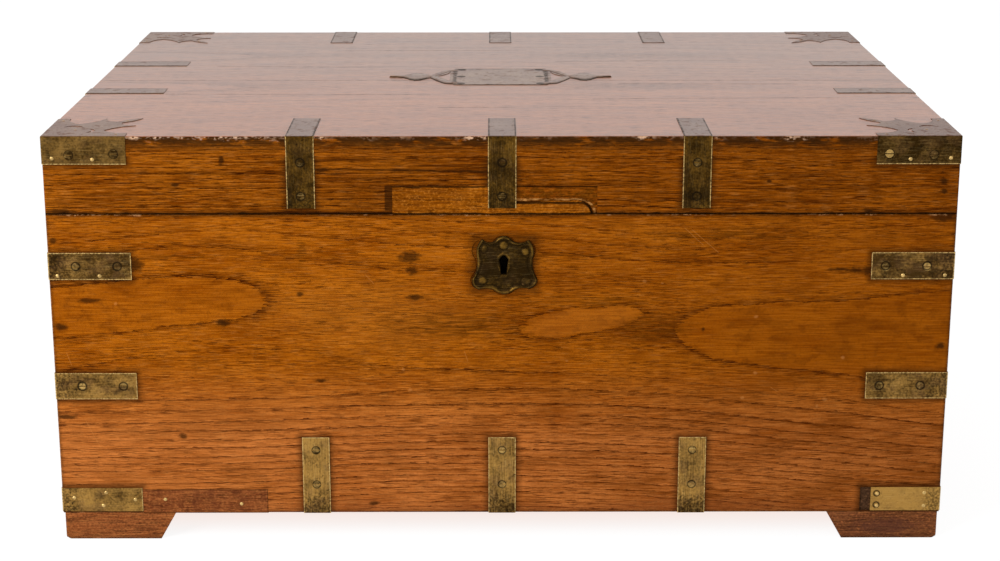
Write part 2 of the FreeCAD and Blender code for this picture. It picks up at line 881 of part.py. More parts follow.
def handle_bail():
    """Drop handle of the left end, hanging: bent rod, swelled grip, pivots and stop heels."""
    axis_x = left - handle_standoff
    low = handle_z - handle_fall
    bend = bail_corner * (1 - math.sqrt(0.5))

    def spot(y, z):
        return Vector(axis_x, y, z)

    path = Part.Wire([
        Part.makeLine(spot(-handle_half, handle_z), spot(-handle_half, low + bail_corner)),
        Part.Arc(
            spot(-handle_half, low + bail_corner), spot(-handle_half + bend, low + bend),
            spot(-handle_half + bail_corner, low),
        ).toShape(),
        Part.makeLine(spot(-handle_half + bail_corner, low), spot(handle_half - bail_corner, low)),
        Part.Arc(
            spot(handle_half - bail_corner, low), spot(handle_half - bend, low + bend),
            spot(handle_half, low + bail_corner),
        ).toShape(),
        Part.makeLine(spot(handle_half, low + bail_corner), spot(handle_half, handle_z)),
    ])
    ring = Part.Wire(Part.makeCircle(bail_radius, spot(-handle_half, handle_z), ALONG_Z))
    rod = path.makePipeShell([ring], True, False)
    swell = flat_face(
        spot(-grip_half, low),
        [
            (spot(-grip_half, low + bail_radius),),
            (spot(0, low + grip_radius), spot(grip_half, low + bail_radius)),
            (spot(grip_half, low),),
            (spot(-grip_half, low),),
        ],
    ).revolve(spot(0, low), ALONG_Y, 360)
    pieces = [rod, swell]
    heel = handle_standoff - strap_proud - bolt_play - pivot_radius
    reach = knob_radius + side_play + 2 * post_half + 1.5
    for side in (-1, 1):
        arm = spot(side * handle_half, handle_z)
        pieces.append(Part.makeSphere(knob_radius, arm))
        pieces.append(Part.makeCylinder(pivot_radius, reach, arm, ALONG_Y * -side))
        pieces.append(Part.makeCylinder(pivot_radius, heel, arm, ALONG_Z))
        pieces.append(Part.makeSphere(pivot_radius, spot(side * handle_half, handle_z + heel)))
    return joined(pieces)


def lid_patch_pieces():
    """Two repair pieces in the lower edge of the lid front; the right one has broken away
    above a curved crack and keeps only a thin layer there."""
    high = lid_base + patch_high
    left_piece = block(patch_left, patch_middle, front, front + patch_deep, lid_base, high)
    floor_y = front + patch_deep - patch_floor
    layer = block(patch_middle, patch_right, floor_y, front + patch_deep, lid_base, high)

    def on_rail(x, up):
        return Vector(x, front, lid_base + up)

    tongue = flat_face(
        on_rail(patch_middle, 0),
        [
            (on_rail(patch_middle, 7),),
            (on_rail(patch_right - 46, 12), on_rail(patch_right - 24, 12)),
            (on_rail(patch_right - 10, 9), on_rail(patch_right - 6, 0)),
            (on_rail(patch_middle, 0),),
        ],
    ).extrude(Vector(0, patch_deep, 0))
    recess = block(patch_left, patch_right, front, front + patch_deep, lid_base, high)
    return [left_piece, joined([layer, tongue])], recess


def body_patch():
    """Repair strip let into the lower edge of the body front, beside the corner strap."""
    return block(
        left + corner_leg, left + corner_leg + body_patch_long, front, front + body_patch_deep,
        body_base, body_base + body_patch_high,
    )


def let_in(timber, pieces):
    """Timber with the places of the pieces that reach into it cut out."""
    near = [piece for piece in pieces if timber.BoundBox.intersect(piece.BoundBox)]
    return timber.cut(near) if near else timber


nodes = {}
body_fittings = {}
lid_fittings = {}
CORNERS = [(side, face) for face in ("front", "back") for side in ("left", "right")]

# Three straps round each upright corner of the body
upper = upright_strap(
    rim - upper_strap_drop, strap_wide, corner_leg, corner_leg,
    upper_strap_screws, upper_strap_pins,
)
middle = upright_strap(
    rim - middle_strap_drop, strap_wide, corner_leg, corner_leg, middle_strap_screws, []
)
lower_z = body_base + lower_strap_rise
lower = upright_strap(lower_z, lower_strap_wide, corner_leg, corner_leg, [], lower_strap_pins)
short_lower = upright_strap(
    lower_z, lower_strap_wide, short_strap_leg, corner_leg, [], short_strap_pins
)
for side, face in CORNERS:
    lowest = short_lower if (side, face) == ("right", "front") else lower
    body_fittings[f"{face}_{side}_corner_straps"] = [
        to_side(fitting, side, face) for fitting in (upper, middle, lowest)
    ]

# Straps that turn under the bottom of the body and over the edges of the lid
bottom_strap = edge_strap(
    1, bottom_strap_rise, bottom_strap_under, bottom_strap_face_screws, bottom_strap_flat_screws
)
lid_strap = edge_strap(
    -1, lid_strap_drop, lid_strap_reach, lid_strap_face_screws, lid_strap_flat_screws
)
for face in ("front", "back"):
    body_fittings[f"{face}_bottom_straps"] = [
        to_side(along_front(bottom_strap, x, body_base), "left", face) for x in bottom_strap_places
    ]
    lid_fittings[f"lid_{face}_straps"] = [
        to_side(along_front(lid_strap, x, lid_crown), "left", face) for x in lid_strap_places
    ]
for side in ("left", "right"):
    body_fittings[f"{side}_bottom_straps"] = [
        to_side(along_end(bottom_strap, y, body_base), side, "front") for y in end_strap_places
    ]
    lid_fittings[f"lid_{side}_straps"] = [
        to_side(along_end(lid_strap, y, lid_crown), side, "front") for y in end_strap_places
    ]

# Corner caps and name plate on the lid
cap = corner_cap()
for side, face in CORNERS:
    lid_fittings[f"lid_{face}_{side}_cap"] = [to_side(cap, side, face)]
lid_fittings["lid_name_plate"] = [name_plate()]

# Lock, hinges and handles
keyhole = key_bore()
body_fittings["escutcheon"] = [escutcheon()]
body_fittings["lock_case"] = [lock_case()]
lid_fittings["lid_link_plate"] = [link_plate()]
hinge_pins = []
for side, x in (("left", -hinge_x), ("right", hinge_x)):
    body_leaf, lid_leaf, hinge_pin = hinge(x)
    body_fittings[f"{side}_hinge_body_leaf"] = [body_leaf]
    lid_fittings[f"{side}_hinge_lid_leaf"] = [lid_leaf]
    hinge_pins.append(hinge_pin)
nodes["hinge_pins"] = Part.makeCompound(hinge_pins)
plate = handle_plate()
bail = handle_bail()
for side in ("left", "right"):
    body_fittings[f"{side}_handle_plate"] = [to_side(plate, side, "front")]
    nodes[f"{side}_handle_bail"] = mirrored(bail, side, "front")
nodes["lock_cap"] = lock_cap()
nodes["lock_bolt"] = lock_bolt()
nodes["lock_spring"] = lock_spring()

# Metal pieces with their fixing holes, and the fixings gathered by kind and carrier
for carrier, fittings in (("body", body_fittings), ("lid", lid_fittings)):
    screws = []
    pins = []
    for name, group in fittings.items():
        pieces = [fitting.metal() for fitting in group]
        nodes[name] = pieces[0] if len(pieces) == 1 else Part.makeCompound(pieces)
        for fitting in group:
            screws += fitting.screws
            pins += fitting.pins
    nodes[f"{carrier}_screws"] = Part.makeCompound(screws)
    nodes[f"{carrier}_pins"] = Part.makeCompound(pins)
nodes["escutcheon"] = nodes["escutcheon"].cut(keyhole)

# Timber of the body, cut for its joints, fittings and repairs
body_boards = frame_boards(board, body_base, rim, body_tails, (body_base, rim))
planks = bottom_planks()
body_cuts = [piece for group in body_fittings.values() for fitting in group
             for piece in fitting.recess()]
old_recess = block(
    -left - corner_leg, -left - short_strap_leg, front, front + strap_thick - strap_proud,
    lower_z - lower_strap_wide / 2, lower_z + lower_strap_wide / 2,
)
for name, timber in body_boards.items():
    timber = timber.cut(planks)
    if name == "front":
        timber = timber.cut(lock_hollow() + [keyhole, body_patch(), old_recess])
    kind = "board" if name in ("front", "back") else "end"
    nodes[f"body_{name}_{kind}"] = let_in(timber, body_cuts)
for name, timber in zip(("front", "middle", "back"), planks):
    nodes[f"bottom_{name}_plank"] = let_in(timber, body_cuts)
nodes["body_repair_strip"] = let_in(body_patch(), body_cuts)

# Timber of the lid
lid_boards = frame_boards(lid_rail, lid_base, rail_crown, lid_tails, (lid_base,))
patches, patch_recess = lid_patch_pieces()
lid_cuts = [piece for group in lid_fittings.values() for fitting in group
            for piece in fitting.recess()]
for name, timber in lid_boards.items():
    if name == "front":
        timber = timber.cut(patch_recess)
    nodes[f"lid_{name}_rail"] = let_in(timber, lid_cuts)
crown = soften(
    block(left, -left, front, -front, rail_crown, lid_crown), arris,
    lambda p: p.z > rail_crown + 0.01,
)
joint = front + top_joint
halves = {
    "front": block(left, -left, front, joint, rail_crown, lid_crown),
    "back": block(left, -left, joint, -front, rail_crown, lid_crown),
}
for name, half in halves.items():
    nodes[f"lid_{name}_top_board"] = let_in(crown.common(half), lid_cuts)
nodes["lid_repair_pieces"] = Part.makeCompound([let_in(piece, lid_cuts) for piece in patches])

# Feet
for side, face in CORNERS:
    foot_face, foot_side, glue_block = [mirrored(piece, side, face) for piece in foot_pieces()]
    nodes[f"{face}_{side}_foot_face"] = foot_face
    nodes[f"{face}_{side}_foot_return"] = foot_side
nodes["foot_glue_blocks"] = Part.makeCompound(
    [mirrored(foot_pieces()[2], side, face) for side, face in CORNERS]
)

for name, shape in nodes.items():
    shape.exportStep(f"parts/{name}.step")
print(len(nodes), "nodes")
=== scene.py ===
"""Brass-bound campaign chest of teak, seen from the front and a little above."""
import math
from itertools import product

import bmesh
import bpy
import numpy as np
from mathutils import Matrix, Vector


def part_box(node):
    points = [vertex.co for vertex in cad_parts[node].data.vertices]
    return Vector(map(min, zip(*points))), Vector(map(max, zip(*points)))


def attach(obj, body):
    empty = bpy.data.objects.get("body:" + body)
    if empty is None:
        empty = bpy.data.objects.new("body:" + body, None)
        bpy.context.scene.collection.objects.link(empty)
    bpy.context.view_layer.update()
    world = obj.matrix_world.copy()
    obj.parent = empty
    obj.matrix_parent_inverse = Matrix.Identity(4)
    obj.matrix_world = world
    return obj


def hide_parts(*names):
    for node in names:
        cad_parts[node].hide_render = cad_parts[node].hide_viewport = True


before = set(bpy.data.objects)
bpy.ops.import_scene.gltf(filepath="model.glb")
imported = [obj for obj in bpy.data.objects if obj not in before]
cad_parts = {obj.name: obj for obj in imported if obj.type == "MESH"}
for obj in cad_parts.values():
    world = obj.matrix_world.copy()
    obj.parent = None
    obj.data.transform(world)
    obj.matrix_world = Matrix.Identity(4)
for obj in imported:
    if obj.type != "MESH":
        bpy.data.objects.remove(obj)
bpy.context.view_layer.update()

# The studio: a plain white floor that runs out of sight behind the chest, and a camera in front
# of it at about chest height. The floor keeps a faint shadow of the body and the feet.


class Value:
    """One output socket; arithmetic on it adds Math nodes."""

    def __init__(self, nodes, socket):
        self.nodes = nodes
        self.socket = socket

    def __add__(self, other):
        return self.nodes.math("ADD", self, other)

    def __sub__(self, other):
        return self.nodes.math("SUBTRACT", self, other)

    def __rsub__(self, other):
        return self.nodes.math("SUBTRACT", other, self)

    def __mul__(self, other):
        return self.nodes.math("MULTIPLY", self, other)

    def __truediv__(self, other):
        return self.nodes.math("DIVIDE", self, other)

    def __pow__(self, power):
        return self.nodes.math("POWER", self, power)

    def __abs__(self):
        return self.nodes.math("ABSOLUTE", self)

    __radd__ = __add__
    __rmul__ = __mul__

    def rise(self, low, high):
        """Smooth step from 0 at low to 1 at high; low may lie above high."""
        settings = {"interpolation_type": "SMOOTHSTEP"}
        return self.nodes.node("ShaderNodeMapRange", settings, {0: self, 1: low, 2: high})


class Nodes:
    """Nodes of the world or of one finish."""

    def __init__(self, tree):
        self.tree = tree

    def feed(self, socket, value):
        """Sets a socket to a number, or links it to a value."""
        if isinstance(value, Value):
            self.tree.links.new(value.socket, socket)
        else:
            socket.default_value = value

    def node(self, kind, settings, sockets, output=0):
        """Any node: its type, its settings, which go first, then the values of its sockets."""
        made = self.tree.nodes.new(kind)
        for name, setting in settings.items():
            setattr(made, name, setting)
        for name, value in sockets.items():
            self.feed(made.inputs[name], value)
        return Value(self, made.outputs[output])

    def math(self, operation, *values):
        """Result of one Math node."""
        return self.node("ShaderNodeMath", {"operation": operation}, dict(enumerate(values)))

    def mix(self, share, first, second):
        """Colour that goes from the first to the second as the share goes from 0 to 1."""
        return self.node("ShaderNodeMix", {"data_type": "RGBA"}, {0: share, 6: first, 7: second}, 2)

    def vector_math(self, operation, *values, output="Vector"):
        """Result of one Vector Math node."""
        return self.node("ShaderNodeVectorMath", {"operation": operation}, dict(enumerate(values)), output)

    def vector(self, x, y, z):
        """Vector of three values."""
        return self.node("ShaderNodeCombineXYZ", {}, {0: x, 1: y, 2: z})

    def noise(self, x, y, z, detail=2.0):
        """Soft noise from 0 to 1 over a space whose unit is about one blotch."""
        sockets = {"Vector": self.vector(x, y, z), "Scale": 1.0, "Detail": detail}
        return self.node("ShaderNodeTexNoise", {}, sockets)

    def curve(self, value, stops):
        """Smooth curve through (place, height) stops."""
        stops = np.array(stops)
        low = stops.min(0)
        span = stops.max(0) - low
        level = self.node("ShaderNodeValToRGB", {}, {0: (value - float(low[0])) / float(span[0])})
        ramp = level.socket.node.color_ramp
        ramp.interpolation = "CARDINAL"
        shares = ((stops - low) / span).tolist()
        for place, _ in shares[1:-1]:
            ramp.elements.new(place)
        for element, (_, height) in zip(ramp.elements, shares):
            element.color = (height, height, height, 1)
        return level * float(span[1]) + float(low[1])

    def beyond(self, spot, half):
        """Distance of a vector from a box round the origin with the given half sizes, 0 inside it."""
        past = self.vector_math("SUBTRACT", self.vector_math("ABSOLUTE", spot), half)
        past = self.vector_math("MAXIMUM", past, (0.0, 0.0, 0.0))
        return self.vector_math("LENGTH", past, output="Value")

    def showing(self):
        """1 for rays that show the white room: those of the camera, of gloss and of glass."""
        kinds = ("Camera", "Glossy", "Transmission")
        rays = [self.node("ShaderNodeLightPath", {}, {}, f"Is {kind} Ray") for kind in kinds]
        return self.math("MINIMUM", rays[0] + rays[1] + rays[2], 1.0)


class Finish(Nodes):
    """A material in the making: one Principled shader and the nodes that feed it. They read the
    place of the surface point in the chest's own frame, in millimetres."""

    def __init__(self, name, steady):
        self.material = bpy.data.materials.new(name)
        self.material.use_nodes = True
        super().__init__(self.material.node_tree)
        self.tree.nodes.clear()
        self.shader = self.tree.nodes.new("ShaderNodeBsdfPrincipled")
        self.output = self.tree.nodes.new("ShaderNodeOutputMaterial")
        self.tree.links.new(self.shader.outputs[0], self.output.inputs[0])
        self.look(steady)
        place = self.node("ShaderNodeTexCoord", {}, {}, "Object")
        scaled = self.node("ShaderNodeVectorMath", {"operation": "SCALE"}, {0: place, "Scale": 1000.0})
        self.x, self.y, self.z = [
            self.node("ShaderNodeSeparateXYZ", {}, {0: scaled}, axis) for axis in range(3)
        ]
        self.axes = {"x": self.x, "y": self.y, "z": self.z}

    def look(self, sockets):
        """Feeds the shader's own sockets."""
        for name, value in sockets.items():
            self.feed(self.shader.inputs[name], value)

    def blotches(self, wide, high, detail, shift=0):
        """Noise from 0 to 1 in blotches about as wide and as high as given; shift takes another part
        of the noise."""
        return self.noise(self.x / wide, self.y / wide, self.z / high + shift, detail)

    def bump(self, height, depth):
        """Feeds the shader's normal from a height that varies by about 1; depth is in metres."""
        sockets = {"Height": height, "Distance": depth, "Strength": 1.0}
        self.look({"Normal": self.node("ShaderNodeBump", {}, sockets)})


def larger(first, second):
    """Larger of two values."""
    return first.nodes.math("MAXIMUM", first, second)


def tone(red, green, blue):
    """Linear colour of a display colour whose channels go to 255."""
    channel = np.array([red, green, blue]) / 255
    linear = np.where(channel <= 0.04045, channel / 12.92, ((channel + 0.055) / 1.055) ** 2.4)
    return (*linear.tolist(), 1.0)


def grid_mesh(name, grids, closed=False):
    """Smooth mesh of quads over grids of points, rows by columns by three. Closed joins the last
    column of each grid to its first. Points in one place, as at a pole, become one. Columns turned
    into rows the short way give the outside."""
    points = []
    quads = []
    for grid in grids:
        index = np.arange(grid[..., 0].size).reshape(grid.shape[:2]) + sum(map(len, points))
        if closed:
            index = np.concatenate([index, index[:, :1]], 1)
        corners = [index[:-1, :-1], index[:-1, 1:], index[1:, 1:], index[1:, :-1]]
        quads.append(np.stack(corners, -1).reshape(-1, 4))
        points.append(grid.reshape(-1, 3))
    mesh = bpy.data.meshes.new(name)
    mesh.from_pydata(np.concatenate(points).tolist(), [], np.concatenate(quads).tolist())
    joined = bmesh.new()
    joined.from_mesh(mesh)
    bmesh.ops.remove_doubles(joined, verts=joined.verts, dist=1e-7)
    joined.to_mesh(mesh)
    joined.free()
    mesh.polygons.foreach_set("use_smooth", np.ones(len(mesh.polygons), dtype=bool))
    made = bpy.data.objects.new(name, mesh)
    bpy.context.scene.collection.objects.link(made)
    return made


floor_reach = 14.0
floor_white = 0.9
shadow_share = 0.18
glow_strength = 1.12
under_chest = (410.0, 290.0)
under_fade = 70.0
run, back = np.meshgrid([-floor_reach, floor_reach], [-floor_reach, floor_reach])
floor = grid_mesh("studio_floor", [np.stack([run, back, np.zeros_like(run)], -1)])
white = (floor_white, floor_white, floor_white, 1)
paper = Finish("white_paper", {"Base Color": white, "Roughness": 0.9, "Specular IOR Level": 0.0})
# Painted tint on the floor under the chest, a pale rosy brown that stands in for light bounced off the
# wood.
beside = larger(abs(paper.x) - under_chest[0], abs(paper.y) - under_chest[1])
painted_bounce_tint = paper.mix(beside.rise(0.0, -under_fade), (1, 1, 1, 1), (1.0, 0.87, 0.82, 1))
glow = paper.node("ShaderNodeEmission", {}, {"Color": painted_bounce_tint, "Strength": glow_strength})
lit = Value(paper, paper.shader.outputs[0])
seen_floor = paper.node(
    "ShaderNodeMixShader", {}, {0: paper.showing() * (1 - shadow_share), 1: lit, 2: glow}
)
paper.feed(paper.output.inputs[0], seen_floor)
floor.data.materials.append(paper.material)

sky_strength = 0.5
scene = bpy.context.scene
scene.world = bpy.data.worlds.new("white_room")
scene.world.use_nodes = True
sky = Nodes(scene.world.node_tree)
backdrop = sky.tree.nodes["Background"]
backdrop.inputs["Color"].default_value = (1, 1, 1, 1)
sky.feed(backdrop.inputs["Strength"], sky.showing() * (1 - sky_strength) + sky_strength)


def soft_lamp(name, place, aim, wide, high, watts):
    """Rectangular studio lamp that faces a point."""
    data = bpy.data.lights.new(name, "AREA")
    data.shape = "RECTANGLE"
    data.size = wide
    data.size_y = high
    data.energy = watts
    lamp = bpy.data.objects.new(name, data)
    lamp.location = place
    lamp.rotation_euler = (Vector(aim) - Vector(place)).to_track_quat("-Z", "Y").to_euler()
    scene.collection.objects.link(lamp)


chest_middle = (0.0, 0.0, 0.2)
soft_lamp("key_lamp", (-2.0, -1.9, 1.5), chest_middle, 1.5, 1.3, 62.0)
soft_lamp("top_lamp", (0.2, 0.3, 2.6), chest_middle, 2.4, 1.8, 14.0)

camera_tilt = 14.939
camera_turn = -0.187
camera_data = bpy.data.cameras.new("photo_camera")
camera_data.sensor_width = 36.0
camera_data.lens = 70.45
camera_data.shift_y = -0.0492
camera_data.clip_end = 50.0
camera = bpy.data.objects.new("photo_camera", camera_data)
camera.location = (-0.00697, -1.99303, 0.75336)
camera.rotation_euler = (math.radians(90 - camera_tilt), 0.0, math.radians(camera_turn))
scene.collection.objects.link(camera)
scene.camera = camera
scene.view_settings.view_transform = "Standard"

# The body boards: four teak boards dovetailed at the corners, oiled and polished. The front is sawn
# so that two long tongues of plain wood run in from its ends. Dirt has gathered round the brass.

front_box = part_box("body_front_board")
half_width = front_box[1].x * 1000
half_depth = -front_box[0].y * 1000
body_base = front_box[0].z * 1000
rim = front_box[1].z * 1000
strap_wide = 25.2
corner_leg = 75.0
strap_levels = [rim - 48.0, rim - 162.5, body_base + 13.5]
bottom_strap_places = [-172.2, 0.5, 177.1]
end_strap_places = [-77.0, 77.0]
bottom_strap_rise = 75.0
key_middle = (2.0, 268.0)


def dress(finish, *names):
    """Gives a finish to CAD nodes through their material slots."""
    for name in names:
        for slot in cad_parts[name].material_slots:
            slot.material = finish.material


def rectangle_gap(run, middle, half):
    """Distance from an upright rectangle, 0 inside it, run being its level axis."""
    finish = run.nodes
    off = finish.vector_math("SUBTRACT", finish.vector(run, finish.z, 0.0), (*middle, 0.0))
    return finish.beyond(off, (*half, 0.0))


def nearest(gaps):
    """Smallest of several distances."""
    least = gaps[0]
    for gap in gaps[1:]:
        least = least.nodes.math("MINIMUM", least, gap)
    return least


class Teak(Finish):
    """Teak whose rings follow a flow: the distance from a heart line, measured in half heights
    and drawn together or spread along the board, so that its contours make the pointed tongues
    of a flat-sawn face. Below gives the line that the rings under the heart settle to."""

    def __init__(self, name, axes, centre, spread, half, below=None):
        super().__init__(
            name, {"Specular IOR Level": 0.03, "Specular Tint": (1.0, 0.6, 0.2, 1), "Coat Roughness": 0.28}
        )
        self.figure(axes, centre, spread, half, below)

    def streaks(self, long, high, deep, shift=0, detail=2.0, up=None):
        """Noise in streaks about as long, high and deep as given. Up may be another height, such
        as the flow, and shift takes another part of the noise."""
        up = up or self.across
        return self.noise(self.along / long, up / high, self.deep / deep + shift, detail)

    def figure(self, axes, centre, spread, half, below=None):
        """Works out the flow of the rings over a face; axes names its run, its height and its depth."""
        self.along, self.across, self.deep = [self.axes[axis] for axis in axes]
        self.half_run, self.half_deep = half_width, half_depth
        if axes[0] == "y":
            self.half_run, self.half_deep = half_depth, half_width
        wander = self.streaks(260, 60, 60) - 0.5
        heart = self.curve(self.along, centre)
        if below:
            settled = self.curve(self.along, below)
            near = ((self.across - settled) / half).rise(-2.6, -0.7)
            heart = settled + (heart - settled) * near
        self.offset = (self.across + wander * 5 - heart) / half
        opened = self.curve(self.along, spread)
        apart = larger(opened, 0.0) * abs(self.offset).rise(3.0, 1.2)
        self.squared = self.offset * self.offset + apart + self.math("MINIMUM", opened, 0.0)

    def eye(self, place, size, slope):
        """Closes the rings round an oval of plain wood that tapers towards one end. Returns how far
        a point lies inside it."""
        across = (self.along - place[0]) / size[0]
        up = (self.across - place[1] - (self.along - place[0]) * slope) / size[1]
        torn = self.streaks(16, 1 / 0.7, 9) - 0.5
        bent = self.streaks(34, 30, 30, 8) - 0.5
        up = up + bent * 0.9
        oval = across * across + up * up * larger(across * 0.4 + 1, 0.6) + torn * 0.7
        self.squared = self.math("SMOOTH_MIN", self.squared, oval, 0.5)
        return oval.rise(1.0, 0.5)

    def grain(self, slow, quick, strengths, sharp=6.0, unbroken=90.0, uneven=0.5):
        """Works out the marks of the wood. Ring lines stand where a growing ring count passes a
        whole number; strengths gives how dark they are by signed flow, unbroken how far they run
        and uneven how much their spacing varies. Pores are short dashes that lie level whatever
        the rings do."""
        distance = self.math("SQRT", larger(self.squared, 0.0))
        flow = self.math("SIGN", self.offset) * distance
        self.strokes = self.streaks(9, 1.25, 9) - 0.5
        reach = distance - 1 + self.strokes * (0.14 + abs(distance - 1).rise(0.6, 0.1) * 0.16)
        wobble = self.streaks(210, 1 / 1.3, 40, up=flow) - 0.5
        spacing = self.streaks(320, 1 / 2.6, 40, 20, up=flow) - 0.5
        wobble = (wobble * 0.5 + spacing * uneven) * reach.rise(0.15, 0.7)
        count = reach * slow + reach * abs(reach) * quick + wobble + 0.02
        broken = self.streaks(unbroken, 1 / 1.1, 30, up=flow).rise(0.36, 0.56)
        fading = 1 - self.math("FRACT", count)
        lines = fading ** (sharp * 2.5) * 0.6 * (0.4 + broken * 0.6) + fading ** (sharp * 0.6) * 0.45
        faint = self.streaks(420, 1 / 1.9, 40, 50, up=flow).rise(0.36, 0.6)
        faint = 1 - (1 - faint) * reach.rise(0.3, 0.8) * 0.6
        vessels = self.streaks(1 / 0.07, 1 / 1.7, 1 / 1.7)
        dashed = 0.62 + vessels.rise(0.42, 0.56) * 0.6
        self.lines = lines * faint * dashed * self.curve(flow, strengths)
        self.open_wood = distance.rise(0.85, 1.05)
        dashes = vessels.rise(0.55, 0.63)
        crowd = self.streaks(70, 6, 30).rise(0.38, 0.62)
        self.pores = dashes * (0.16 + self.open_wood * (0.16 + crowd * 0.44) + self.lines * 0.5)
        glints = self.streaks(1 / 0.06, 1 / 1.5, 1 / 1.5, 40)
        self.glints = glints.rise(0.55, 0.66) * (0.12 + self.open_wood * 0.24)
        self.fibre = self.streaks(1 / 0.03, 1.25, 1.25, detail=6.0)
        self.cloud = self.streaks(90, 24, 40, detail=6.0)
        self.fray = self.blotches(5, 3, 4.0) * 1.2

    def colour(self, pale, deep, dark):
        """Streaks between two tones, faint in plain wood, then ring lines and pores in the dark one
        and pale glints between them."""
        streak = (self.fibre * 0.7 + self.cloud * 0.3).rise(0.34, 0.64)
        streak = (streak - 0.6) * (self.open_wood * 0.2 + 0.8) + self.open_wood * 0.08 + 0.48
        wood = self.mix(streak, deep, pale)
        dust = self.blotches(2.2, 2.2, 3.0).rise(0.48, 0.7)
        mottle = self.blotches(14, 9, 5.0).rise(0.5, 0.66)
        wood = self.mix(dust * 0.2 + mottle * (1 - self.open_wood) * 0.3 + self.lines, wood, dark)
        wood = self.mix(self.glints, wood, self.mix(0.4, pale, straw))
        return self.mix(self.pores, wood, dark)

    def stain(self, share, tint):
        """Lays a tint over the wood worked out so far."""
        self.wood = self.mix(share, self.wood, tint)

    def gritty(self, wood, dark, pale, share):
        """Surface rubbed rough, in fine grains of a dark and a pale tone."""
        grit = self.blotches(2.2, 1.7, 4.0)
        wood = self.mix(grit.rise(0.5, 0.34) * share, wood, dark)
        return self.mix(grit.rise(0.53, 0.68) * share, wood, pale)

    def outer(self):
        """Share of the outer face as against the inside."""
        return (self.half_deep - abs(self.deep)).rise(6.0, 2.0)

    def ovals(self, marks):
        """Frayed oval marks on the face, 1 in their middles: their places, then their half sizes."""
        spot = self.vector(self.along, self.across, 0.0)
        gaps = []
        for x, y, wide, high in marks:
            shift = (-x / wide, -y / high, 0.0)
            local = self.vector_math("MULTIPLY_ADD", spot, (1 / wide, 1 / high, 0.0), shift)
            gaps.append(self.vector_math("LENGTH", local, output="Value"))
        return (nearest(gaps) + self.fray).rise(1.7, 0.9)

    def scratches(self, marks, wide, wavy=0):
        """Thin marks on the face between pairs of points, 1 along their middles."""
        spot = self.vector(self.along, self.across + self.strokes * wavy, 0.0)
        gaps = []
        for x, y, to_x, to_y in marks:
            place = {
                "Vector": spot, "Location": ((x + to_x) / 2, (y + to_y) / 2, 0.0),
                "Rotation": (0.0, 0.0, math.atan2(to_y - y, to_x - x)), "Scale": (wide, wide, 1.0),
            }
            turned = self.node("ShaderNodeMapping", {"vector_type": "TEXTURE"}, place)
            half = math.hypot(to_x - x, to_y - y) / 2 / wide
            gaps.append(self.beyond(turned, (half, 0.0, 0.0)))
        return nearest(gaps).rise(1.0, 0.0)

    def grime(self, gap, reach):
        """Dirt that lies against fittings and fades with the distance from them."""
        patch = self.blotches(9, 9, 3.0)
        near = (gap + patch * reach * 0.9).rise(reach * 1.6, 0.0)
        return near * (0.45 + patch * 0.9)

    def wear_and_highlight(self, gap, reach):
        """Pale flecks where an edge is knocked and rubbed bare; on the body rim and lid arris also painted
        highlight.
        """
        ragged = self.blotches(11, 8, 4.0)
        fleck = self.blotches(3, 2, 2.0)
        cluster = self.blotches(45, 45, 3.0).rise(0.48, 0.6)
        bare = (gap / reach + ragged * 2).rise(1.6, 0.9) * fleck.rise(0.44, 0.58)
        return bare * (0.12 + cluster * 0.88)

    def finished(self, roughness, *names):
        """Feeds the shader, with a satin polish that dulls in the pores and with open grain, and
        dresses nodes in it."""
        dulled = self.fibre * 0.15 + self.pores * 0.25 + roughness
        self.look({"Base Color": self.wood, "Roughness": dulled})
        self.bump(self.fibre * 0.5 - self.lines * 0.5 - self.pores * 0.8, 0.0004)
        dress(self, *names)


dirt = tone(46, 22, 5)
straw = tone(226, 160, 84)
teak_pale = tone(178, 99, 15)
teak_deep = tone(133, 64, 1)
teak_dark = tone(66, 19, 0)
red_pale = tone(201, 119, 56)
red_deep = tone(153, 80, 25)
red_dark = tone(80, 27, 2)
bare_wood_and_highlight = tone(206, 150, 100)
even_lines = [(-9, 0.5), (0, 0.3), (9, 0.5)]


def strap_gap(board, places):
    """Distance from the brass that lies on a side of the body."""
    half = (corner_leg / 2, strap_wide / 2)
    corner_middle = board.half_run - half[0]
    gaps = [rectangle_gap(abs(board.along), (corner_middle, level), half) for level in strap_levels]
    rise = bottom_strap_rise / 2
    upright = (strap_wide / 2, rise)
    gaps += [rectangle_gap(board.along, (place, body_base + rise), upright) for place in places]
    return nearest(gaps)


def soil(board, fittings, edges):
    """Dirt by the fittings and edges on the outer face of a board, and pale flecks where edges are rubbed
    bare, on the rim also painted highlight.
    """
    outer = board.outer()
    board.stain(fittings * outer, dirt)
    edge_gap = nearest(edges)
    board.stain(board.grime(edge_gap, 4.0) * outer, dirt)
    # Pale flecks along the edges: bare wood, and along the rim also a painted highlight.
    board.stain(board.wear_and_highlight(edge_gap, 2.0) * outer * 0.6, bare_wood_and_highlight)


front = Teak(
    "front_teak", "xzy",
    centre=[(-410, 222), (-250, 235), (-100, 222), (78, 212), (170, 204), (410, 197)],
    spread=[(-410, 0.0), (-320, 0.0), (-262, 0.18), (-236, 0.42), (-219, 0.8), (-211, 1.05), (-190, 1.45),
            (-60, 1.3), (78, 1.2), (140, 1.15), (158, 0.95), (190, 0.0), (245, -0.65), (325, -1.3),
            (410, -2.8)],
    half=24.0, below=[(-410, 205), (-230, 206), (-20, 213), (200, 204), (410, 188)],
)
in_eye = front.eye((73.5, 214.4), (57, 13.5), 0.16)
front.grain(
    0.6, 0.33,
    [(-8, 1.5), (-3.4, 1.7), (-2.2, 1.5), (-1.35, 0.4), (-1, 1.0), (-0.8, 0.0), (0.8, 0.0), (1, 1.0),
     (1.35, 0.45), (2.2, 0.8), (4.5, 0.9)],
    sharp=8.0, unbroken=170.0,
)
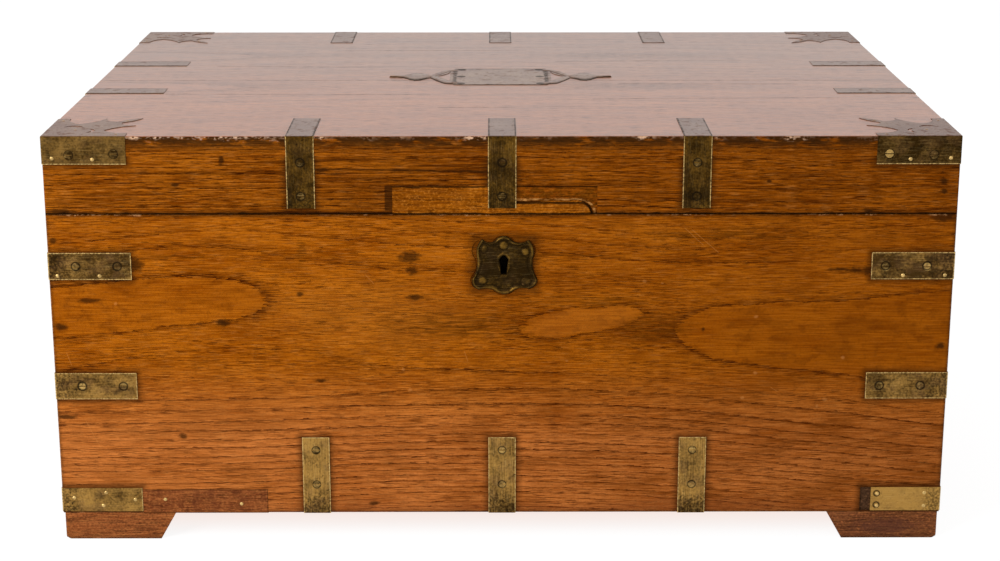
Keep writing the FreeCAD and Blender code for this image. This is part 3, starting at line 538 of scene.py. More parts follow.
plain = front.ovals([(-225, 184, 260, 30)])
front.lines = front.lines * (1 - plain * 0.8)
lower = front.z.rise(182.0, 84.0)
front.wood = front.colour(
    front.mix(lower, teak_pale, red_pale), front.mix(lower, teak_deep, red_deep),
    front.mix(lower, teak_dark, red_dark),
)
smoke = front.streaks(42, 20, 40, detail=6.0)
# Smoky streaks, and a darkening towards the right that is partly painted shade of the light from the left
# and partly darker wood.
smoke_and_right_shade = smoke.rise(0.46, 0.66) * 0.26 + front.x.rise(-150.0, 360.0) * 0.3
front.stain(smoke_and_right_shade, tone(100, 46, 2))
foot_worn = (front.z + front.cloud * 24 - body_base).rise(30.0, 14.0)
front.stain(foot_worn * 0.35, tone(118, 62, 32))
# Painted light: the lower front is lightened towards the left, where the light falls.
painted_left_light = lower * front.x.rise(0.0, -300.0) * 0.16
front.stain(painted_left_light, red_pale)
front.stain(in_eye * 0.15, tone(198, 118, 40))
glow = front.ovals([(-120, 218, 120, 44)])
front.stain(glow * 0.14, tone(200, 124, 40))
dark_bands = [(-40, 209, 90, 16), (78, 233, 80, 7), (140, 209, 45, 17), (40, 276, 60, 6),
              (200, 296, 90, 8), (-300, 275, 60, 3), (-181, 281, 6, 20)]
bands = front.ovals(dark_bands)
streaky = front.streaks(30, 1 / 0.9, 30, detail=4.0).rise(0.58, 0.42)
front.stain(bands * streaky * 0.6, tone(80, 40, 2))
old_marks = [
    (-83, 275, 14, 7), (-81, 262, 7, 5), (-79, 237, 10, 4), (-254, 213, 8, 5),
    (-295, 103, 5, 3.5), (-375, 234, 14, 3), (-402, 209, 8, 4), (-166, 157, 8, 2.5),
    (184, 206, 2.5, 2.5), (-119, 36, 6, 3), (321, 262, 11, 4), (306, 263, 14, 2),
    (-183, 240, 4, 3), (-330, 22, 30, 2), (-402, 122, 12, 3), (398, 311, 16, 5),
    (-404, 290, 5, 4), (402, 190, 6, 4), (-331, 268, 10, 9), (331, 262, 8, 5),
]
front.stain(front.ovals(old_marks) * 0.8, dirt)
old_scratches = [
    (-123, 258, -116, 250), (-34, 185, -31, 176), (165, 302, 182, 286),
    (172, 300, 196, 279), (-384, 118, -372, 92), (-398, 184, -394, 172),
    (248, 150, 254, 146),
]
scratched = front.scratches(old_scratches, 0.5)
front.stain(scratched * 0.4, tone(196, 128, 62))
old_dents = [
    (232, 218, 2.6, 2), (313, 179, 2.2, 2), (233, 164, 2.4, 2), (222, 140, 2.2, 2),
    (298, 138, 3, 2), (291, 132, 1.8, 2), (-351, 231, 2, 2), (60, 176, 1.6, 1),
    (130, 252, 2.4, 2), (146, 250, 1.8, 1), (-90, 168, 1.8, 2), (-84, 148, 2.4, 2),
]
front.stain(front.ovals(old_dents) * 0.28, tone(208, 140, 74))
escutcheon_gap = rectangle_gap(front.x, key_middle, (27.0, 24.0))
grime = front.grime(strap_gap(front, bottom_strap_places), 7.0)
grime = larger(grime, front.grime(escutcheon_gap, 10.0) * 0.9)
soil(front, grime, [rim - front.z, front.z - body_base, half_width - abs(front.x)])
arris = half_width - abs(front.x) + (front.y + half_depth) * 0.7
arris = (arris + front.strokes * 2).rise(1.6, 0.4) * front.fray.rise(0.4, 0.8)
front.stain(arris * 0.45, bare_wood_and_highlight)
empty_place = (340.0, strap_levels[2])
empty = rectangle_gap(front.x, empty_place, (8.0, 14.0)).rise(1.0, 0.0)
empty = empty * front.y.rise(-half_depth + 0.3, -half_depth + 0.9)
bare_recess = front.gritty(tone(74, 52, 36), tone(44, 30, 20), tone(112, 78, 52), 0.8)
front.stain(empty * 0.9, bare_recess)
# Near-black painted shade in the bore of the keyhole through the board.
key_gap = rectangle_gap(front.x, key_middle, (6.0, 12.0))
keyhole_shade = key_gap.rise(3.0, 1.0) * front.y.rise(-half_depth - 0.5, -half_depth)
front.stain(keyhole_shade, tone(6, 4, 2))
front.finished(0.4, "body_front_board")

side_figures = {
    "body_back_board": ("xzy", 150.0, [(-410, 0.2), (-100, 1.6), (120, 1.1), (410, -1.0)]),
    "body_left_end": ("yzx", 120.0, [(-290, 1.8), (40, 0.8), (290, 0.1)]),
    "body_right_end": ("yzx", 240.0, [(-290, 0.1), (-60, 1.1), (290, 2.0)]),
}
for name, (axes, heart, spread) in side_figures.items():
    side = Teak(f"{name}_teak", axes, [(-410, heart), (60, heart + 16), (410, heart - 12)], spread, 26.0)
    side.grain(0.6, 0.3, [(-8, 0.6), (-1, 0.6), (0, 0.0), (1, 0.6), (8, 0.6)])
    places = bottom_strap_places if axes == "xzy" else end_strap_places
    lower = side.z.rise(150.0, 60.0) * 0.7
    side.wood = side.colour(
        side.mix(lower, teak_pale, red_pale), side.mix(lower, teak_deep, red_deep), teak_dark
    )
    grime = side.grime(strap_gap(side, places), 7.0)
    soil(side, grime, [rim - side.z, side.z - body_base])
    side.finished(0.4, name)

# The bottom: three teak planks laid in a rebate round the foot of the body boards. They were left
# rough from the saw and have gone dull with dust.

planks = Teak("bottom_teak", "xyz", [(-410, 0), (410, 20)], [(-410, 1.0), (410, 1.4)], 60.0)
planks.grain(1.2, 0.8, even_lines)
planks.wood = planks.colour(tone(136, 84, 38), tone(106, 62, 26), tone(52, 30, 14))
saw_marks = planks.math("SINE", planks.x * 1.1 + planks.cloud * 6).rise(0.2, 0.9)
planks.stain(saw_marks * 0.22, tone(84, 58, 36))
planks.finished(0.6, "bottom_front_plank", "bottom_middle_plank", "bottom_back_plank")

# The repair at the lower left: a strip of redder teak let into the front where the edge had broken.
# It is glued in and held by two round nails.

strip_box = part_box("body_repair_strip")
strip = Teak("repair_strip_teak", "xzy", [(-410, 30), (-200, 44)], [(-410, 0.6), (-200, 1.6)], 9.0)
strip.grain(0.9, 0.6, even_lines)
strip.wood = strip.colour(tone(160, 92, 48), tone(118, 62, 30), tone(62, 28, 14))
mottle = strip.blotches(6, 4, 4.0).rise(0.45, 0.7)
strip.stain(mottle * 0.5, tone(96, 46, 26))
strip.wood = strip.gritty(strip.wood, tone(84, 38, 16), tone(190, 118, 62), 0.4)
ribs = strip.noise(strip.x / 12, strip.y / 40, strip.z / 60, 4.0)
strip.stain(ribs.rise(0.5, 0.7) * 0.5, tone(90, 44, 26))
edge_gap = nearest([
    strip.z - strip_box[0].z * 1000, strip_box[1].z * 1000 - strip.z, strip_box[1].x * 1000 - strip.x
])
strip.stain(strip.grime(edge_gap, 1.5), dirt)
strip.finished(0.45, "body_repair_strip")
nail_places = [(-314.0, 40.0), (-243.0, 35.5)]
nail_round = 1.7
nail_high = 0.7
turn, lean = np.meshgrid(np.linspace(0, -2 * np.pi, 24, endpoint=False), np.linspace(0, np.pi / 2, 8))
dome = np.stack([np.sin(lean) * np.cos(turn) * nail_round, -np.cos(lean) * nail_high,
                 np.sin(lean) * np.sin(turn) * nail_round], -1)
domes = [(dome + (x, -half_depth, z)) / 1000 for x, z in nail_places]
nails = grid_mesh("repair_nails", domes, closed=True)
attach(nails, "carcass")

# The feet: mitred brackets of a darker, redder wood, a face and a return at each corner. They are
# glued under the bottom with blocks behind.

feet = Teak("foot_timber", "xzy", [(-410, 12), (410, 14)], [(-410, 0.5), (-300, 1.2), (410, 0.8)], 8.0)
feet.grain(0.8, 0.5, even_lines)
foot_shade = feet.x.rise(-250.0, 350.0) * 0.7
feet.wood = feet.colour(
    feet.mix(foot_shade, tone(166, 98, 52), tone(122, 74, 46)),
    feet.mix(foot_shade, tone(130, 70, 34), tone(88, 52, 34)), tone(58, 30, 18),
)
feet.wood = feet.gritty(feet.wood, tone(84, 42, 22), tone(184, 110, 60), 0.45)
bruise = feet.ovals([(362, 11, 40, 11)])
feet.stain(bruise * 0.6, tone(80, 46, 38))
feet.stain(feet.grime(feet.z, 4.0), tone(46, 28, 18))
foot_end = 307.0
foot_slope = 0.4
inner_end = abs(abs(feet.x) - foot_end + feet.z * foot_slope)
foot_edge = nearest([feet.z, half_width - abs(feet.x), inner_end])
feet.stain(feet.wear_and_highlight(foot_edge, 3.0) * 0.5, tone(176, 116, 72))
corners = [f"{face}_{side}" for face in ("front", "back") for side in ("left", "right")]
feet.finished(0.45, *[f"{corner}_foot_face" for corner in corners], "foot_glue_blocks")
returns = Teak("foot_return_timber", "yzx", [(-290, 12), (290, 14)], [(-290, 0.5), (290, 1.1)], 8.0)
returns.grain(0.8, 0.5, even_lines)
returns.wood = returns.colour(tone(146, 86, 48), tone(110, 60, 32), tone(58, 30, 18))
returns.wood = returns.gritty(returns.wood, tone(80, 42, 24), tone(168, 104, 60), 0.4)
returns.stain(returns.grime(returns.z, 4.0), tone(46, 28, 18))
returns.finished(0.45, *[f"{corner}_foot_return" for corner in corners])

# The brass straps of the body: bent strip let into the timber nearly flush and screwed or pinned.
# Brown and olive with age, they are brightest low down, where the floor brush has rubbed them.


class Brass(Finish):
    """Aged sheet brass: blotches between a brown and a yellow tone, scratches along the run of the strip,
    black specks, and edges rubbed bright on upright faces but black on level ones, where the black is
    painted shade along the raised edge of the strip together with tarnish. Level faces mirror the white
    room. Run and cross name the axes that add up to the way along and across the strip."""

    def __init__(self, name, run, cross, bloom=0.28, shine=0.72, scratched=0.8, mottled=1.5):
        super().__init__(name, {"Specular IOR Level": 0.1, "Coat Roughness": 0.3})
        self.run = sum([self.axes[axis] for axis in run[1:]], self.axes[run[0]])
        self.cross = sum([self.axes[axis] for axis in cross[1:]], self.axes[cross[0]])
        self.level = self.z.rise(lid_crown - 0.1, lid_crown + 0.3)
        self.bloom = bloom
        self.shine = shine
        self.scratched = scratched
        self.mottled = mottled
        self.tarnish_and_shade = 0.0
        self.dirty = 0.0
        self.fresh = 0.0

    def from_corner(self):
        """Distance from the nearest upright corner along a side of the chest."""
        return larger(half_width - abs(self.x), half_depth - abs(self.y))

    def paint_bend_shade(self):
        """Paints shade on the bend below the level of the lid top."""
        self.tarnish_and_shade = self.z.rise(lid_crown - 0.3, lid_crown) * (1 - self.level) * 0.8

    def patina(self, wear, brown, yellow, edge_gap=9.0, screw_gap=9.0):
        """Feeds the shader. Wear is how far the metal is rubbed back towards its yellow tone,
        edge_gap the distance from the strip's long edges and screw_gap that from screw rims."""
        blotch = self.blotches(18, 18, 6.0)
        lengthwise = self.noise(self.run / 26, self.cross * 1.1, 0.0, 4.0)
        hair = self.noise(self.run / 16, self.cross * 2.4, 5.0, 3.0)
        specks = self.blotches(3, 3, 3.0).rise(0.6, 0.7)
        stain = self.blotches(8, 8, 5.0, 7).rise(0.55, 0.68)
        grains = self.blotches(2, 2, 4.0, 3)
        brushed = (lengthwise - 0.5) * 1.3 * self.scratched
        rubbed = wear + (blotch - 0.5) * self.mottled + brushed + (grains - 0.5) * 0.9
        metal = self.mix(rubbed.rise(0.0, 1.0), brown, yellow)
        rosy = self.noise(self.x / 15 + 9, self.y / 15, self.z / 12, 4.0).rise(0.5, 0.64)
        metal = self.mix(rosy * (1 - self.fresh) * self.bloom, metal, copper_bloom)
        metal = self.mix(hair.rise(0.56, 0.68) * 0.4 * self.scratched, metal, rubbed_brass)
        metal = self.mix(hair.rise(0.43, 0.34) * 0.5 * self.scratched, metal, black_of_tarnish_and_shade)
        spoiled = (specks + stain) * 0.4 * (1 - self.fresh) + self.dirty * grains.rise(0.62, 0.36)
        metal = self.mix(spoiled, metal, black_of_tarnish_and_shade)
        metal = self.mix(self.level * 0.7, metal, level_brown)
        # On level faces the edges turn black: painted shade along the raised edge of the strip, with
        # tarnish.
        edge = (edge_gap * (1 - self.level * 0.5) + blotch * 0.8).rise(1.4, 0.7)
        edge = edge * (0.35 + grains.rise(0.4, 0.6) * 0.6)
        metal = self.mix(edge, metal, self.mix(self.level, rubbed_brass, black_of_tarnish_and_shade))
        # Black at the screw rims and by the share set on each piece: tarnish on some, painted shade at the
        # lid's bends, the scroll edges and the lock behind the keyhole.
        darkened = larger((screw_gap + blotch).rise(1.7, 0.7) * 0.85, self.tarnish_and_shade)
        metal = self.mix(darkened, metal, black_of_tarnish_and_shade)
        self.look({
            "Base Color": metal, "Metallic": 0.85 - self.level * 0.75,
            "Roughness": 0.66 - rubbed.rise(0.0, 1.0) * 0.2,
            "Coat Weight": self.level * (self.shine - spoiled - (edge + darkened) * 0.7),
        })
        self.bump(lengthwise * 0.4 + blotch + hair * 0.4 - specks * 0.7, 0.0003)

    def screw_rims(self, a, b, places, size=3.8):
        """Distance from the rims of screw heads at places in the plane of a and b."""
        spot = self.vector(a, b, 0.0)
        gaps = [self.vector_math("DISTANCE", spot, (*place, 0.0), output="Value") for place in places]
        return abs(nearest(gaps) - size)


lid_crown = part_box("lid_front_top_board")[1].z * 1000
black_of_tarnish_and_shade = tone(26, 17, 6)
level_brown = tone(116, 80, 64)
rubbed_brass = tone(206, 174, 112)
copper_bloom = tone(112, 80, 50)
brass_brown = tone(66, 44, 14)
brass_yellow = tone(170, 129, 64)


def strip_edge(along, places):
    """Distance from the long edges of straps that lie side by side."""
    return abs(nearest([abs(along - place) for place in places]) - strap_wide / 2)


straps = Brass("corner_strap_brass", "xy", "z", scratched=0.5)
low_wear = straps.curve(straps.z, [(28, 0.52), (60, 0.52), (152, 0.46), (230, 0.32), (280, 0.28)])
replaced = straps.x.rise(250.0, 300.0) * straps.y.rise(0.0, -100.0)
renewed = replaced * straps.z.rise(90.0, 60.0) * 0.5
from_corner = straps.from_corner()
corner_screws = list(product((24.7, 62.4), strap_levels[:2]))
rims = straps.screw_rims(from_corner, straps.z, corner_screws)
loose_pins = [(59.5, strap_levels[2] + 5.5), (59.5, strap_levels[2] - 6.0)]
short_leg = 66.0
pin_rims = straps.screw_rims(from_corner, straps.z, loose_pins, 2.7) + (1 - replaced) * 9
short_end = abs(from_corner - short_leg) + (1 - renewed * 2) * 9
ends = nearest([from_corner, abs(from_corner - corner_leg), short_end])
ends = nearest([strip_edge(straps.z, strap_levels), ends])
straps.fresh = renewed * 1.1
straps.dirty = from_corner.rise(24.0, 6.0) * 0.5
rims = nearest([rims, pin_rims])
straps.patina(low_wear + renewed - replaced * 0.12, brass_brown, brass_yellow, ends, rims)
dress(straps, *[f"{corner}_corner_straps" for corner in corners])

bottom_screw_levels = [body_base + 28.5, body_base + 62.5]
upright = {
    "front_back": ("yz", "x", bottom_strap_places),
    "left_right": ("xz", "y", end_strap_places),
}
for sides, (run, cross, places) in upright.items():
    straps = Brass(f"{sides}_bottom_strap_brass", run, cross, mottled=1.0)
    low_wear = straps.curve(straps.z, [(24, 0.2), (38, 0.32), (46, 0.55), (105, 0.58)])
    low_wear = low_wear + straps.x.rise(-120.0, -150.0) * 0.14
    rims = straps.screw_rims(straps.cross, straps.z, product(places, bottom_screw_levels))
    straps.dirty = straps.z.rise(50.0, 40.0) * 0.45
    ends = abs(straps.z - body_base - bottom_strap_rise)
    ends = nearest([strip_edge(straps.cross, places), ends])
    straps.patina(low_wear, brass_brown, brass_yellow, ends, rims + 0.4)
    dress(straps, *[f"{side}_bottom_straps" for side in sides.split("_")])

# The lid frame: four teak rails dovetailed like the body, of straight wood with close dark lines.
# Dirt lies along the lower edge above a near-black line of painted shade in the gap with the body, and the
# front rail has an old split.

lid_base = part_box("lid_front_rail")[0].z * 1000
rail_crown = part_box("lid_front_rail")[1].z * 1000
lid_strap_places = [-180.0, 0.5, 175.0]
lid_strap_drop = 66.0
cap_leg = 75.0
cap_drop = 25.5


def lid_gap(board, places):
    """Distance from the brass on a side of the lid."""
    drop = lid_strap_drop / 2
    strap = (strap_wide / 2, drop)
    gaps = [rectangle_gap(board.along, (place, lid_crown - drop), strap) for place in places]
    cap = (cap_leg / 2, cap_drop / 2)
    cap_middle = (board.half_run - cap[0], lid_crown - cap[1])
    return nearest(gaps + [rectangle_gap(abs(board.along), cap_middle, cap)])


def straight_wood(board):
    """Works out the close lines of the lid's straight wood and its colour, darker to the right."""
    board.grain(2.1, 0.5, rail_lines, 3.0, 110.0, 1.8)
    shade = board.along.rise(-340.0, 200.0) * 0.5
    pale = board.mix(shade, rail_pale, teak_deep)
    return board.colour(pale, board.mix(shade, rail_deep, rail_brown), rail_dark)


rail_pale = tone(174, 97, 16)
rail_deep = tone(112, 51, 0)
rail_brown = tone(100, 46, 1)
rail_dark = tone(50, 13, 0)
rail_lines = [(-9, 0.9), (9, 0.95)]
rail_spread = [(-410, 1.0), (410, 1.3)]
rail_figures = {
    "lid_front_rail": ("xzy", lid_strap_places, 250.0),
    "lid_back_rail": ("xzy", lid_strap_places, 420.0),
    "lid_left_rail": ("yzx", end_strap_places, 400.0),
    "lid_right_rail": ("yzx", end_strap_places, 260.0),
}
old_knocks = [
    (-160, 356, 9, 3), (-396, lid_base + 3, 16, 3), (-232, lid_base + 1, 9, 2),
    (396, 345, 5, 4), (397, 336, 4, 3), (330, lid_base + 3, 7, 3), (-292, 342, 6, 2),
    (-250, 366, 3, 8), (240, 345, 3, 2),
]
old_split = [(-170, 356.8, -12, 354.0)]
filler_place = (-101.3, lid_base + 15.0)
filler_half = (3.0, 11.0)
for name, (axes, places, heart) in rail_figures.items():
    rail = Teak(f"{name}_teak", axes, [(-410, heart), (0, heart + 3), (410, heart - 3)], rail_spread, 24.0)
    rail.wood = straight_wood(rail)
    smoke = rail.streaks(120, 5, 40, detail=4.0)
    middle = abs(rail.along + 90).rise(170.0, 40.0)
    rail.stain(middle * 0.16, rail_dark)
    rail.stain(smoke.rise(0.5, 0.66) * (0.35 + middle * 0.3), rail_dark)
    filler = rectangle_gap(rail.along, filler_place, filler_half)
    on_face = rail.y.rise(-half_depth + 8.0, -half_depth + 2.0)
    outer = rail.outer()
    rail.stain(filler.rise(1.0, 0.2) * on_face * 0.75, dirt)
    split = rail.scratches(old_split, 1.5, wavy=3)
    knock = larger(rail.ovals(old_knocks), split)
    rail.stain(knock * on_face * 0.85, dirt)
    grime = rail.grime(lid_gap(rail, places), 7.0)
    rail.stain(grime * outer, dirt)
    rail.stain(rail.grime(rail.z - lid_base, 4.0) * outer, dirt)
    # Near-black painted shade along the lower edge, in the gap between the lid and the body.
    seam_shade = (rail.z - lid_base + rail.strokes * 3).rise(2.0, 0.6) * outer
    rail.stain(seam_shade * 0.9, tone(20, 10, 4))
    rail.finished(0.42, name)

# The lid top: two wide teak boards glued edge to edge on the rails and french polished, so that the
# top mirrors the white room. The front arris is chipped along its whole length.

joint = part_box("lid_front_top_board")[1].y * 1000
old_cracks = [
    (-410, joint, 410, joint), (-330, -92, -70, -96), (-300, 62, -40, 55),
    (90, -118, 330, -112), (60, 92, 260, 99), (-180, 160, 20, 164), (120, -38, 300, -40),
    (-60, -160, 70, -157),
]
for name, heart in (("lid_front_top_board", -60.0), ("lid_back_top_board", 120.0)):
    top = Teak(f"{name}_teak", "xzy", [(-410, 250), (0, 253), (410, 247)], rail_spread, 24.0)
    edge_colour = straight_wood(top)
    top.figure("xyz", [(-410, heart), (0, heart + 14), (410, heart - 8)],
               [(-410, 0.4), (-100, 1.5), (150, 1.0), (410, 1.8)], 40.0)
    top.grain(1.1, 0.8, [(-9, 0.8), (0, 0.5), (9, 0.8)], unbroken=200.0)
    level = top.z.rise(lid_crown - 0.6, lid_crown - 0.1)
    crack = top.scratches(old_cracks, 1.3, wavy=5) * top.cloud.rise(0.3, 0.5)
    far = top.y.rise(-200.0, 200.0)
    top.wood = top.colour(
        top.mix(far, tone(176, 102, 54), tone(156, 98, 62)),
        top.mix(far, tone(136, 72, 36), tone(116, 68, 42)), tone(72, 38, 22),
    )
    top.stain(crack * 0.9, tone(30, 16, 10))
    under_colour = top.colour(tone(150, 82, 20), tone(108, 53, 6), tone(56, 24, 4))
    under = top.z.rise(rail_crown + 0.6, rail_crown + 0.1)
    top.stain(1 - level, top.mix(under, edge_colour, under_colour))
    edge_gap = lid_crown - top.z
    chips = top.blotches(16, 5, 5.0).rise(0.3, 0.48)
    bruised = chips * (edge_gap + top.fray * 5).rise(20.0, 6.0) * (1 - level)
    top.stain(bruised * 0.9, tone(48, 27, 9))
    # Pale flecks on the front arris: bare wood knocked and rubbed, and partly a painted highlight on the
    # rounded edge.
    top.stain(top.wear_and_highlight(edge_gap, 6.0) * (1 - level), tone(222, 178, 142))
    near_cap = abs(top.x + 262).rise(90.0, 40.0) * (edge_gap + chips * 4).rise(7.0, 3.0)
    scuffs = top.blotches(3, 2, 4.0).rise(0.5, 0.64) * near_cap
    top.stain(scuffs * (1 - level) * 0.7, tone(206, 176, 156))
    polish = 1.1 - top.fibre * 0.26 - top.pores * 0.16 - top.lines * 0.2 - crack * 0.6
    top.look({"Coat Weight": level * polish})
    top.finished(0.4, name)

# The repairs in the lid's lower edge: two pieces of paler wood let into notches in the front rail and
# glued. The right one has broken away along a crack.

patch = Teak("lid_repair_teak", "xzy", [(-100, 322), (90, 330)], [(-100, 0.6), (90, 1.4)], 9.0)
patch.grain(0.7, 0.5, even_lines)
patch.wood = patch.colour(tone(170, 95, 12), tone(112, 54, 2), tone(54, 20, 0))
mottle = patch.blotches(7, 5, 4.0).rise(0.48, 0.7)
patch.stain(mottle * 0.5, tone(96, 46, 3))
patch.wood = patch.gritty(patch.wood, tone(92, 42, 2), tone(206, 130, 44), 0.35)
broken = patch.y.rise(-half_depth + 0.6, -half_depth + 1.4) * patch.x.rise(0.0, 2.0)
crumbs = patch.blotches(5, 3, 6.0).rise(0.4, 0.64)
broken_wood = patch.mix(crumbs, tone(56, 24, 1), tone(122, 58, 6))
patch.stain(broken * 0.6, broken_wood)
crack_middle = 36.0
crack_half = 35.0
crack_rise = 10.0
patch_high = 26.0
whole = rectangle_gap(patch.x, (crack_middle, lid_base), (crack_half, 0.5)) - crack_rise
crack = abs(whole + patch.strokes * 2).rise(1.6, 0.7) * patch.x.rise(0.0, 2.0)
# Pale line just off the crack: splintered wood, with a painted highlight on the broken edge.
splinter_and_highlight = abs(whole + patch.strokes * 2 - 2.6).rise(1.4, 0.4) * crumbs * broken
patch.stain(splinter_and_highlight * 0.7, tone(206, 150, 84))
# Dark lines along the top of the lower piece, the crack and the lower edge: painted shade in these steps
# and gaps, with dirt in them.
top_line = (lid_base + patch_high - patch.z + patch.strokes * 2).rise(1.8, 1.0)
seam_shade = (patch.z - lid_base + patch.strokes * 3).rise(2.0, 0.6)
gap_shade_and_dirt = larger(larger(top_line, crack) * 0.85, seam_shade * 0.95)
patch.stain(gap_shade_and_dirt, tone(24, 11, 3))
patch.finished(0.45, "lid_repair_pieces")

# The brass of the lid: straps bent over the edges, fretted corner caps and the bare name plate. The
# sheet is let into the wood, and screwed or pinned.

lid_brown = tone(48, 31, 5)
lid_yellow = tone(116, 82, 26)
lid_screw_levels = [lid_crown - 24.0, lid_crown - 55.0]
for sides, (run, cross, places) in upright.items():
    places = lid_strap_places if sides == "front_back" else places
    straps = Brass(f"{sides}_lid_strap_brass", run, cross, bloom=0.08, scratched=0.3)
    rims = straps.screw_rims(straps.cross, straps.z, product(places, lid_screw_levels))
    straps.paint_bend_shade()
    straps.dirty = straps.z.rise(350.0, 330.0) * 0.3
    wear = straps.z.rise(340.0, 390.0) * 0.15 + 0.25
    edges = strip_edge(straps.cross, places)
    straps.patina(wear, lid_brown, lid_yellow, edges, rims)
    dress(straps, *[f"lid_{side}_straps" for side in sides.split("_")])
caps = Brass("cap_brass", "xy", "zy", bloom=0.15, shine=0.54, scratched=0.45)
cap_screws = [(24.0, lid_crown - 17.0), (64.0, lid_crown - 16.0)]
rims = caps.screw_rims(caps.from_corner(), caps.z, cap_screws)
caps.paint_bend_shade()
wear = caps.x.rise(300.0, -300.0) * 0.28 + 0.22
caps.patina(wear, lid_brown, tone(128, 96, 46), abs(lid_crown - cap_drop - caps.z), rims)
dress(caps, *[f"lid_{corner}_cap" for corner in corners])
plate = Brass("name_plate_brass", "x", "y")
plate_half = (47.0, 45.0)
plate_screws = [(40.5, 38.5), (40.5, 0.0)]
rims = plate.screw_rims(abs(plate.x), abs(plate.y), plate_screws)
edge_gap = abs(larger(abs(plate.y) - plate_half[1], abs(plate.x) - plate_half[0]))
plate.paint_bend_shade()
plate.patina(0.4, lid_brown, brass_yellow, edge_gap * 0.6, rims)
dress(plate, "lid_name_plate")

# The scrolls of the name plate: at each end two raised bands cross behind a spear-shaped leaf. They
# are chased from the sheet of the plate itself.


def ribbon(path, halves, low, high, steps=60):
    """Raised band along a path. The path and its half widths run smoothly through their points;
    across it the height rises from low at both edges to high in the middle as half an ellipse, and
    both ends close down to low. Returns the points and, for each, how near it lies to an edge."""
    place = np.linspace(0, len(path) - 1, steps)
    knots = np.arange(len(path))
    smooth = np.exp(-((place[:, None] - knots) / 0.55) ** 2)
    smooth /= smooth.sum(1, keepdims=True)
    middle = smooth @ np.array(path, float)
    half = np.interp(place, knots, halves)
    ahead = np.gradient(middle, axis=0)
    ahead /= np.linalg.norm(ahead, axis=1, keepdims=True)
    aside = np.stack([-ahead[:, 1], ahead[:, 0]], 1)
    across = np.sin(np.linspace(-np.pi / 2, np.pi / 2, 13))[:, None]
    flat = middle + aside * (half * across)[..., None]
    closing = np.sqrt(np.clip(np.minimum(place, place[-1] - place) / 0.3, 0, 1))
    height = low + (high - low) * np.sqrt(1 - across ** 2) * closing
    return np.concatenate([flat, height[..., None]], 2), abs(across) * np.ones(steps)


band = [(43, 37), (54, 34), (62, 20), (70, 2), (78, -9)]
leaf = [(69, 0), (75, 0), (81, 0), (88, 0), (94, 0), (99, 0), (106, 0), (115, 0)]
shapes = [
    (band, [5.0, 5.0, 4.5, 4.0, 3.0], lid_crown + 1.3),
    ([(x, -y) for x, y in band], [5.0, 5.0, 4.5, 4.0, 3.0], lid_crown + 1.1),
    (leaf, [3.0, 9.0, 20.0, 23.0, 15.0, 6.0, 3.0, 0.5], lid_crown + 1.6),
]
chased = [ribbon(path, halves, lid_crown - 0.2, high) for path, halves, high in shapes]
turns = (1, -1)
grids = [grid * (turn, turn, 1) / 1000 for grid, _ in chased for turn in turns]
scrolls = grid_mesh("name_plate_scrolls", grids)
rim_marks = scrolls.data.attributes.new("edge", "FLOAT", "POINT")
edges = [edge.ravel() for _, edge in chased for _ in turns]
rim_marks.data.foreach_set("value", np.concatenate(edges))
scroll_brass = Brass("scroll_brass", "x", "y")
edge = scroll_brass.node("ShaderNodeAttribute", {"attribute_name": "edge"}, {}, "Fac")
# Painted shade along the edges of the raised bands and the leaf, where they meet the plate, with grime in
# the angle.
scroll_brass.tarnish_and_shade = edge.rise(0.55, 0.9) * 0.85
scroll_brass.patina(0.4, lid_brown, brass_yellow)
scrolls.data.materials.append(scroll_brass.material)
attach(scrolls, "lid")

# The escutcheon: a cusped plate of thin cast brass, chased with a bead along its edge and another
# round the keyhole, nearly black with age except where the beads are rubbed.


def scalloped(corners, bows, steps=40):
    """Closed outline of arcs between corners; each arc bows out from its chord by a given height
    as a parabola, inwards where that is negative."""
    start = np.array(corners, float)[:, None]
    end = np.roll(start, -1, 0)
    share = np.linspace(0, 1, steps, endpoint=False)[None, :, None]
    chord = end - start
    out = np.stack([-chord[..., 1], chord[..., 0]], -1) / np.linalg.norm(chord, axis=2, keepdims=True)
    bow = np.array(bows, float)[:, None, None]
    return (start + chord * share + out * bow * 4 * share * (1 - share)).reshape(-1, 2)


def radii(outline, angles):
    """Distance of an outline from the origin in the given directions."""
    around = np.arctan2(outline[:, 1], outline[:, 0])
    order = np.argsort(around)
    return np.interp(angles, around[order], np.hypot(*outline.T)[order], period=2 * np.pi)


def ridge(gap, place, wide):
    """Bell-shaped ridge of height 1 at a given distance."""
    return np.exp(-((gap - place) / wide) ** 2)


right_side = [(8.0, 22.0), (22.5, 23.0), (26.0, 5.5), (30.5, -14.5), (22.0, -22.5), (9.0, -24.0)]
left_side = [(-8.5, -24.0), (-22.5, -23.5), (-28.5, -13.5), (-24.0, 6.0), (-19.5, 24.0), (-8.0, 22.0)]
plate_bows = [-2.0, 2.6, -1.6, 2.2, -1.2, 3.8, -1.4, 2.6, -1.8, 2.4, -2.2, 4.6]
hole = [(4.2, 4.8), (2.9, -3.0), (2.5, -9.0), (-2.5, -9.0), (-2.9, -3.0), (-4.2, 4.8)]
spokes = 420
rings = 60
sheet_thick = 1.0
bead_high = 0.9
groove_deep = 0.45
angles = np.linspace(0, -2 * np.pi, spokes, endpoint=False)
outer = radii(scalloped(right_side + left_side, plate_bows), angles)
inner = radii(scalloped(hole, [0.0, 0.0, 0.0, 0.0, 0.0, 4.2]), angles)
share = np.linspace(0, 1, rings)[:, None]
radius = inner + (outer - inner) * share
from_key = radius - inner
from_edge = outer - radius
beads = ridge(from_key, 1.5, 0.9) + ridge(from_edge, 1.4, 0.8)
groove = ridge(from_edge, 4.2, 0.9)
bosses = [
    ((-18.0, 14.5), 3.0), ((-19.5, -14.5), 3.6), ((20.5, -16.0), 3.8), ((19.5, 12.0), 3.0),
    ((0.0, 18.0), 3.4),
]
